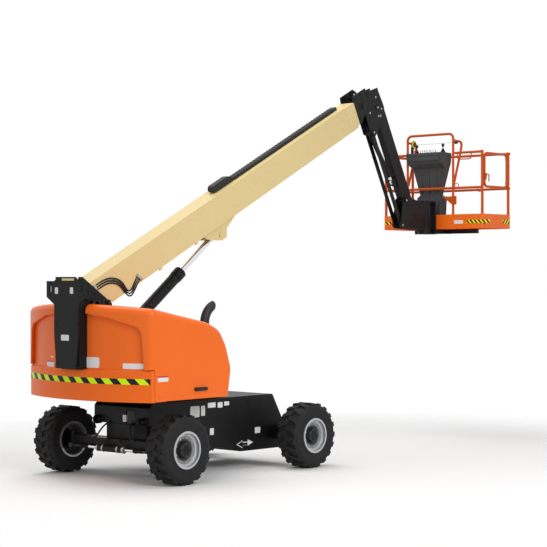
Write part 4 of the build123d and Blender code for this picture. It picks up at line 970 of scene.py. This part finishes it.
def add_lift_cylinder_parts():
    """The pipe with its clips along the lift cylinder, and the bands and gland on its barrel."""
    base, eye, side = at(-1.5, 0, 1.464), at(0.5, 0, 3.006), Vector(RIGHT)
    heading = (eye - base).normalized()
    up = heading.cross(Vector(LEFT))
    ends = [base + heading * along + up * 0.03 for along in (0.22, 1.52)]
    start, end = (place + side * 0.070 for place in ends)
    pipe = Shape()
    pipe.tube([start - side * 0.006, start + side * 0.022, end + side * 0.022, end - side * 0.006],
              0.008, bend=0.02)
    for share in (0.25, 0.6, 0.9):
        pipe.block(facing(start.lerp(end, share) + side * 0.018, side, heading), (0.026, 0.030, 0.034), 0.003)
    for place in ends:
        pipe.turned(facing(place + side * 0.066, side), button(0.014, 0.012, 0.006, 0.002, 0.002), 6)
    pipe.piece("lift_cylinder_pipe", "black_paint", "lift_barrel_body")
    gland = Shape()
    gland.turned(facing(base + heading * 1.73, heading), (
        (0.0412, -0.002), (0.0412, 0.004), (0.060, 0.004), (0.064, 0.0), (0.064, -0.004),
        (0.0412, -0.002)), 40)
    for along, radius in ((0.090, 0.0760), (1.595, 0.0775), (1.612, 0.0775)):
        gland.turned(facing(base + heading * along, heading), (
            (0.073, -0.008), (radius, -0.006), (radius, 0.006), (0.073, 0.008)), 40)
    gland.piece("lift_cylinder_gland", "black_paint", "lift_barrel_body")


class BOOM_OT_boom(bpy.types.Operator):
    """Hose track links, bolts, hoses and pipes of the boom"""

    bl_idname = "boomlift.boom"
    bl_label = "Boom fittings"

    def execute(self, context):
        add_track_links(context.scene.boom_sizes.link_pitch)
        heads = on_both_sides(0.150, (
            (5.60, 0.02), (5.64, 0.02), (5.60, -0.19), (5.64, -0.19), (5.40, -0.02), (5.40, -0.16),
            (0.30, 0.06), (0.30, -0.22)), boom_at)
        add_bolts("boom_bolts", "boom", "cream_paint", heads, 0.010)
        heads = on_both_sides(0.118, ((5.86, 0.10), (5.86, -0.20), (6.02, 0.10), (5.90, -0.05)), boom_at)
        add_bolts("nose_bolts", "fly", "black_paint", heads, 0.010)
        collar = Shape()
        for along in (1.30, 2.02):
            collar.block(boom_frame(along, -0.135, -0.283), (0.05, 0.02, 0.03), 0.003)
        for sign in (-1, 1):
            collar.block(boom_frame(5.639, sign * 0.1525, -0.085), (0.174, 0.005, 0.325), 0.002)
        collar.piece("boom_collar", "cream_paint", "boom")
        add_boom_hoses()
        add_lift_cylinder_parts()
        return {"FINISHED"}


class BOOM_OT_jib(bpy.types.Operator):
    """Pin caps and bolts of the jib's linkage"""

    bl_idname = "boomlift.jib"
    bl_label = "Jib fittings"

    def execute(self, context):
        root, link = Vector((3.846, 4.912)), Vector((3.760, 4.545))
        run = Vector((math.cos(JIB_LEAN), math.sin(JIB_LEAN))) * JIB_LENGTH
        small_cap = stepped_cap(0.020, 0.037, (0.008, 0.006, 0.003), 0.003, 0.003)
        nose_cap = stepped_cap(0.020, 0.042, (0.008, 0.006, 0.003), 0.005)
        # Pins by piece, body and outline: where each is, and its half length
        groups = (
            ("level_bracket_body", "level_bracket_body", small_cap, ((root, 0.080), (link, 0.0802))),
            ("support", "support", small_cap, ((root + run, 0.084), (link + run, 0.078))),
            ("nose", "fly", nose_cap, ((Vector((3.47, 4.90)), 0.124),)),
        )
        for name, body, outline, pins in groups:
            caps, middles = Shape(), []
            for place, half in pins:
                for centre, out in on_both_sides(half, (place,)):
                    caps.turned(facing(centre, out), outline, 28)
                middles += on_both_sides(half + 0.008, (place,))
            caps.piece(f"pin_caps_{name}", "black_paint", body)
            if name == body:
                add_bolts(f"pin_bolts_{name}", body, "zinc", middles, 0.011)
        heads = on_both_sides(0.074, (
            (3.681, 4.821), (3.812, 5.06), (3.95, 4.90), (3.93, 4.80), (3.885, 4.79)))
        add_bolts("bracket_bolts", "level_bracket_body", "zinc", heads, 0.011)
        heads = on_both_sides(0.078, ((4.62, 3.52), (4.90, 3.50), (4.90, 3.20), (4.66, 3.25), (4.76, 3.36)))
        add_bolts("support_bolts", "support", "black_paint", heads, 0.012)
        heads = [(at(5.09 + x, y, 3.6), UP) for x, y in circle(0.068, 8)]
        add_bolts("rotator_bolts", "platform", "black_paint", heads, 0.009)
        return {"FINISHED"}


class BOOM_OT_chassis(bpy.types.Operator):
    """Covers, bolts and hoses of the chassis and its axles"""

    bl_idname = "boomlift.chassis"
    bl_label = "Chassis fittings"

    def execute(self, context):
        box = Shape()
        box.block(facing(at(CHASSIS_BACK + 0.014, -0.17, 0.745), BACK), (0.150, 0.180, 0.022), 0.006)
        for k in range(5):
            slat = at(CHASSIS_BACK + 0.002, -0.17, 0.685 + 0.03 * k)
            box.block(facing(slat, BACK), (0.118, 0.007, 0.006), 0.002)
        box.piece("rear_box", "knob black", "chassis", "black_paint")

        heads = on_both_sides(CHASSIS_HALF, (
            (-0.95, 0.86), (-0.62, 0.40), (0.15, 0.86), (0.62, 0.86), (0.95, 0.34), (1.21, 0.30),
            (0.70, 0.31), (0.30, 0.40), (-0.30, 0.40)))
        heads += [(at(CHASSIS_BACK, sign * y, z), BACK) for sign in (-1, 1)
                  for y, z in ((0.44, 0.84), (0.30, 0.84), (0.10, 0.84), (0.44, 0.70), (0.20, 0.70))]
        add_bolts("chassis_bolts", "chassis", "black_paint", heads, 0.012)

        hoses, bands, sleeves = Shape(), Shape(), Shape()
        for sign in (-1, 1):
            steering = ((-1.28, 0.10, 0.46), (-1.33, 0.13, 0.48), (-1.36, 0.22, 0.43), (-1.33, 0.205, 0.395))
            drive = ((-1.16, 0.20, 0.68), (-1.24, 0.24, 0.62), (-1.29, 0.30, 0.50), (-1.28, 0.36, 0.482))
            for way, radius, bend in ((steering, 0.009, 0.04), (drive, 0.011, 0.05)):
                hoses.tube([at(x, sign * y, z) for x, y, z in way], radius, bend=bend)
            near_band, far_band, gland, sleeve = (
                facing(at(STEER_ROD_X, sign * y, STEER_ROD_Z), (0, sign, 0))
                for y in (0.225, 0.130, 0.2155, 0.40))
            for band in (near_band, far_band):
                bands.turned(band, ((0.0425, -0.012), (0.0450, -0.010), (0.0450, 0.010), (0.0425, 0.012)), 32)
            bands.turned(gland, (
                (0.021, 0.0), (0.021, 0.010), (0.032, 0.010), (0.036, 0.006), (0.036, -0.004),
                (0.021, -0.004)), 28)
            sleeves.turned(sleeve, (
                (0.0185, 0.0), (0.026, 0.0), (0.029, 0.006), (0.029, 0.050), (0.024, 0.058),
                (0.024, 0.150), (0.0185, 0.156)))
        hoses.piece("axle_hoses", "hose_rubber", "chassis")
        bands.piece("steering_cylinder_bands", "zinc", "chassis", "rim_silver")
        sleeves.piece("tie_rod_sleeves", "black_paint", "steer_rod_body")
        return {"FINISHED"}


def add_console():
    """Panel, ribs, joysticks, switches, dials and stop button of the console."""
    panel, ribs = Shape(), Shape()
    place = facing(at(5.36, CONSOLE_Y, CONSOLE_TOP + 0.0035), UP, AHEAD)
    panel.block(place, (0.60, 0.215, 0.007), 0.0025)
    panel.piece("console_panel", "knob black", "platform", "console_grey")
    for x, z, width, height in ((5.213, 4.245, 0.60, 0.060), (5.370, 3.50, 0.34, 0.20)):
        ribs.block(facing(at(x, CONSOLE_Y, z), BACK), (width, height, 0.012), 0.005)
    for y in (-0.035, 0.107, 0.249):
        ribs.block(facing(at(5.362, y, 3.90), BACK), (0.030, 0.36, 0.024), 0.006)
    for y, sign in ((-0.20, -1), (0.414, 1)):
        ribs.block(facing(at(5.36, y, 4.30), (0, sign, 0)), (0.22, 0.040, 0.050), 0.006)
    ribs.piece("console_ribs", "console_grey", "platform")

    def on_panel(x, y, rise=0.007, out=UP):
        return facing(at(x, y, CONSOLE_TOP + rise), out)

    levers, switches, stop = Shape(), Shape(), Shape()
    boot = [(0.0, 0.0), (0.042, 0.0)]
    for k in range(5):
        boot += [(0.040 - 0.0055 * k, 0.006 + 0.011 * k), (0.033 - 0.0055 * k, 0.011 + 0.011 * k)]
    boot += [(0.008, 0.062), (0.008, 0.085), (0.019, 0.092), (0.024, 0.110), (0.021, 0.128), (0.0, 0.136)]
    for y in (-0.16, 0.33):
        levers.turned(on_panel(5.36, y), boot)
    for k in range(8):
        y = -0.05 + 0.040 * k
        switches.turned(on_panel(5.315, y), (
            (0.0, 0.0), (0.009, 0.0), (0.009, 0.004), (0.0045, 0.007), (0.0045, 0.012), (0.0, 0.012)), 12)
        levers.turned(on_panel(5.315, y, 0.017, (-0.35 if k % 3 else 0.3, 0, 1)), (
            (0.0, -0.002), (0.0035, 0.0), (0.0055, 0.022), (0.0060, 0.030), (0.0, 0.034)), 10)
    for y in (0.02, 0.10, 0.18):
        levers.turned(on_panel(5.415, y), (
            (0.0, 0.0), (0.016, 0.0), (0.016, 0.004), (0.012, 0.006), (0.011, 0.020), (0.0, 0.021)), 20)
    stop.turned(on_panel(5.285, 0.305, 0.004), (
        (0.0, 0.0), (0.010, 0.0), (0.010, 0.018), (0.022, 0.022), (0.024, 0.030), (0.019, 0.038),
        (0.0, 0.041)), 28)
    levers.piece("console_levers", "knob black", "platform", "console_grey")
    switches.piece("console_switches", "zinc", "platform", "rim_silver")
    stop.piece("stop_button", "knob red", "platform")

    pedal = Shape()
    pedal.block(facing(at(5.62, 0.42, 3.252), UP, AHEAD), (0.17, 0.15, 0.020), 0.005)
    pedal.block(facing(at(5.615, 0.42, 3.285), (-0.22, 0, 1), AHEAD), (0.13, 0.12, 0.014), 0.004)
    pedal.piece("foot_switch", "knob black", "platform", "console_grey")


def add_guard_line():
    """The line across the console's guard, its reel and its end knob."""
    reel, knob, line = Shape(), Shape(), Shape()
    place = facing(at(LINE_X, 0.452, LINE_Z), RIGHT)
    reel.turned(place, (
        (0.0, 0.0), (0.056, 0.0), (0.060, 0.004), (0.060, 0.022), (0.056, 0.026), (0.0, 0.026)), 36)
    reel.piece("line_reel", "reel yellow", "platform")
    knob.turned(place, ((0.0, 0.026), (0.030, 0.026), (0.034, 0.031), (0.026, 0.040), (0.0, 0.042)), 28)
    knob.turned(place, ((0.0605, 0.008), (0.064, 0.010), (0.064, 0.016), (0.0605, 0.018)), 36)
    knob.block(facing(at(5.42, 0.462, 4.40), RIGHT), (0.040, 0.12, 0.030), 0.005)
    knob.turned(facing(at(LINE_X, -0.345, LINE_Z), LEFT), (
        (0.0, -0.030), (0.024, -0.030), (0.027, -0.024), (0.027, 0.010), (0.016, 0.024), (0.006, 0.032),
        (0.0, 0.032)))
    knob.piece("line_knob", "knob black", "platform", "black_paint")
    sag = LINE_Z - 0.008
    line.tube([at(LINE_X, -0.315, LINE_Z), at(LINE_X, 0.06, sag), at(LINE_X, 0.414, LINE_Z)],
              0.0028, 8, bend=0.3)
    line.piece("guard_line", "wire cover", "platform")


def add_rail_parts():
    """Line hooks on the rails, the gate's latch and hinges, and the toe boards' bolts."""
    hooks, latch, hinges = Shape(), Shape(), Shape()
    for y, sign in ((-0.437, 1), (-0.851, -1)):
        hooks.tube([at(RAIL_X, y + across * 0.034, RAIL_MIDDLE + rise * sign * 0.065)
                    for across, rise in ((-1, 0), (-1, 1), (1, 1), (1, 0))], 0.006, bend=0.034)
    outline = ((-0.195, 3.665), (-0.445, 3.665), (-0.445, 3.545), (-0.36, 3.545))
    hooks.slab([at(5.300, y, z) for y, z in outline], 0.006)
    hooks.block(facing(at(5.303, -0.43, 3.605), BACK), (0.035, 0.13, 0.012), 0.003)
    hooks.piece("rail_hooks", "rail_orange", "platform")

    latch.block(facing(at(5.3803, -0.925, 3.95), RIGHT), (0.040, 0.100, 0.008), 0.003)
    latch.tube([at(x, GATE_Y, z) for x, z in ((5.385, 3.985), (5.50, 3.985), (5.50, 3.875))],
               0.009, bend=0.02)
    latch.tube([at(5.43, GATE_Y, z) for z in (3.985, 3.945)], 0.012)
    latch.piece("gate_latch", "rail_orange", "gate_body")
    for z in (3.848, 4.208):
        hinges.turned(facing(at(5.9784, -0.8987, z), UP), (
            (0.0192, 0.0), (0.0225, 0.002), (0.0225, 0.042), (0.0192, 0.044)))
    hinges.piece("gate_hinges", "rail_orange", "gate_body")
    heads = [(at(x, y, 3.36), out) for y in (-0.8, -0.5, 0.5, 0.8)
             for x, out in ((TOE_BOARD_BACK, BACK), (TOE_BOARD_FRONT, AHEAD))]
    add_bolts("platform_bolts", "platform", "zinc", heads, 0.008)


class BOOM_OT_platform(bpy.types.Operator):
    """Console controls, floor studs, reel, hooks and latch of the platform"""

    bl_idname = "boomlift.platform"
    bl_label = "Platform fittings"

    def execute(self, context):
        pitch = context.scene.boom_sizes.tread_pitch
        length, width = 0.69, 1.79
        studs = TREES["studs"].run("floor_studs", bpy.data.meshes.new("empty"), {
            "Length": length, "Width": width, "Columns": int(length / pitch), "Rows": int(width / pitch),
            "Radius": 0.007}, "orange_paint")
        studs.transform(Matrix.Translation(at(5.6725, 0, 3.2385)))
        new_piece("floor_studs", studs, "orange_paint", "platform")
        add_console()
        add_guard_line()
        add_rail_parts()
        return {"FINISHED"}


class BOOM_OT_stage(bpy.types.Operator):
    """Floor, lamps, world and camera"""

    bl_idname = "boomlift.stage"
    bl_label = "Stage"

    def execute(self, context):
        scene = context.scene
        stage = scene.boom_stage
        floor_mesh = bpy.data.meshes.new("floor")
        corners = [(60.0 * x, 60.0 * y, 0.0) for x, y in ((-1, -1), (1, -1), (1, 1), (-1, 1))]
        floor_mesh.from_pydata(corners, [], [(0, 1, 2, 3)])
        floor = bpy.data.objects.new("floor", floor_mesh)
        scene.collection.objects.link(floor)
        made = Finish("floor")
        made.set("Base Color", made.mix(made.noise(0.6, 2.0), (0.90, 0.90, 0.90), (0.93, 0.93, 0.93)))
        made.set("Roughness", made.noise(2.0, 3.0) * 0.1 + 0.75)
        reached = made.math("SQRT", made.x * made.x + made.y * made.y)
        made.set("Alpha", made.fade(reached, 8.0, 3.6))
        floor_mesh.materials.append(made.material)

        for name, place, size, power in (
                ("key", (-6.0, -17.0, 10.0), 8.0, stage.key_power),
                ("fill", (-17.0, -6.0, 7.0), 8.0, stage.fill_power),
                ("top", (-2.0, 3.0, 15.0), 10.0, stage.top_power)):
            lamp_data = bpy.data.lights.new(name, "AREA")
            lamp_data.shape = "SQUARE"
            lamp_data.size = size
            lamp_data.energy = power
            lamp = bpy.data.objects.new(name, lamp_data)
            scene.collection.objects.link(lamp)
            lamp.location = place
            lamp.rotation_euler = (Vector((0, 0, 2.0)) - Vector(place)).to_track_quat("-Z", "Y").to_euler()

        world = bpy.data.worlds.new("studio")
        scene.world = world
        world.use_nodes = True
        sky = Nodes(world.node_tree)
        rays = sky.node("ShaderNodeLightPath").outputs
        seen = sky.math("MAXIMUM", rays["Is Camera Ray"], rays["Is Glossy Ray"])
        seen = sky.math("MAXIMUM", seen, rays["Is Transmission Ray"])
        soft, white = (
            sky.node("ShaderNodeBackground", {}, {"Color": (1.0, 1.0, 1.0), "Strength": strength}).outputs[0]
            for strength in (stage.sky, 1.0))
        blend = sky.node("ShaderNodeMixShader", {}, {0: seen, 1: soft, 2: white})
        sky.node("ShaderNodeOutputWorld", {}, {"Surface": blend.outputs[0]})

        camera_data = bpy.data.cameras.new("camera")
        camera_data.sensor_width = 36.0
        camera_data.lens = FOCAL_PIXELS * camera_data.sensor_width / PHOTO_SIZE
        camera_data.clip_end = 200.0
        camera = bpy.data.objects.new("camera", camera_data)
        scene.collection.objects.link(camera)
        camera.location = CAMERA_PLACE
        camera.rotation_euler = (math.pi / 2, 0.0, CAMERA_YAW - math.pi / 2)
        scene.camera = camera
        scene.view_settings.view_transform = "Standard"
        return {"FINISHED"}


class BOOM_PT_panel(bpy.types.Panel):
    """Lists the boom lift's steps and settings"""

    bl_label = "Boom lift"
    bl_idname = "BOOM_PT_panel"
    bl_space_type = "VIEW_3D"
    bl_region_type = "UI"
    bl_category = "Boom lift"

    def draw(self, context):
        for group in SETTINGS:
            settings = getattr(context.scene, group)
            for name in settings.bl_rna.properties.keys():
                if name not in ("rna_type", "name"):
                    self.layout.prop(settings, name)
        for step in STEPS:
            self.layout.operator(step.bl_idname)


SETTINGS = {"boom_colours": BOOM_PG_colours, "boom_sizes": BOOM_PG_sizes, "boom_stage": BOOM_PG_stage}
STEPS = (
    BOOM_OT_stage, BOOM_OT_paint, BOOM_OT_wheels, BOOM_OT_plates, BOOM_OT_turntable,
    BOOM_OT_boom, BOOM_OT_jib, BOOM_OT_chassis, BOOM_OT_platform,
)
CLASSES = (*SETTINGS.values(), *STEPS, BOOM_PT_panel)


def register():
    for item in CLASSES:
        bpy.utils.register_class(item)
    for name, group in SETTINGS.items():
        setattr(bpy.types.Scene, name, bpy.props.PointerProperty(type=group))


def unregister():
    for name in SETTINGS:
        delattr(bpy.types.Scene, name)
    for item in reversed(CLASSES):
        bpy.utils.unregister_class(item)


def main():
    register()
    for step in STEPS:
        group, name = step.bl_idname.split(".")
        getattr(getattr(bpy.ops, group), name)()


if __name__ == "__main__":
    main()
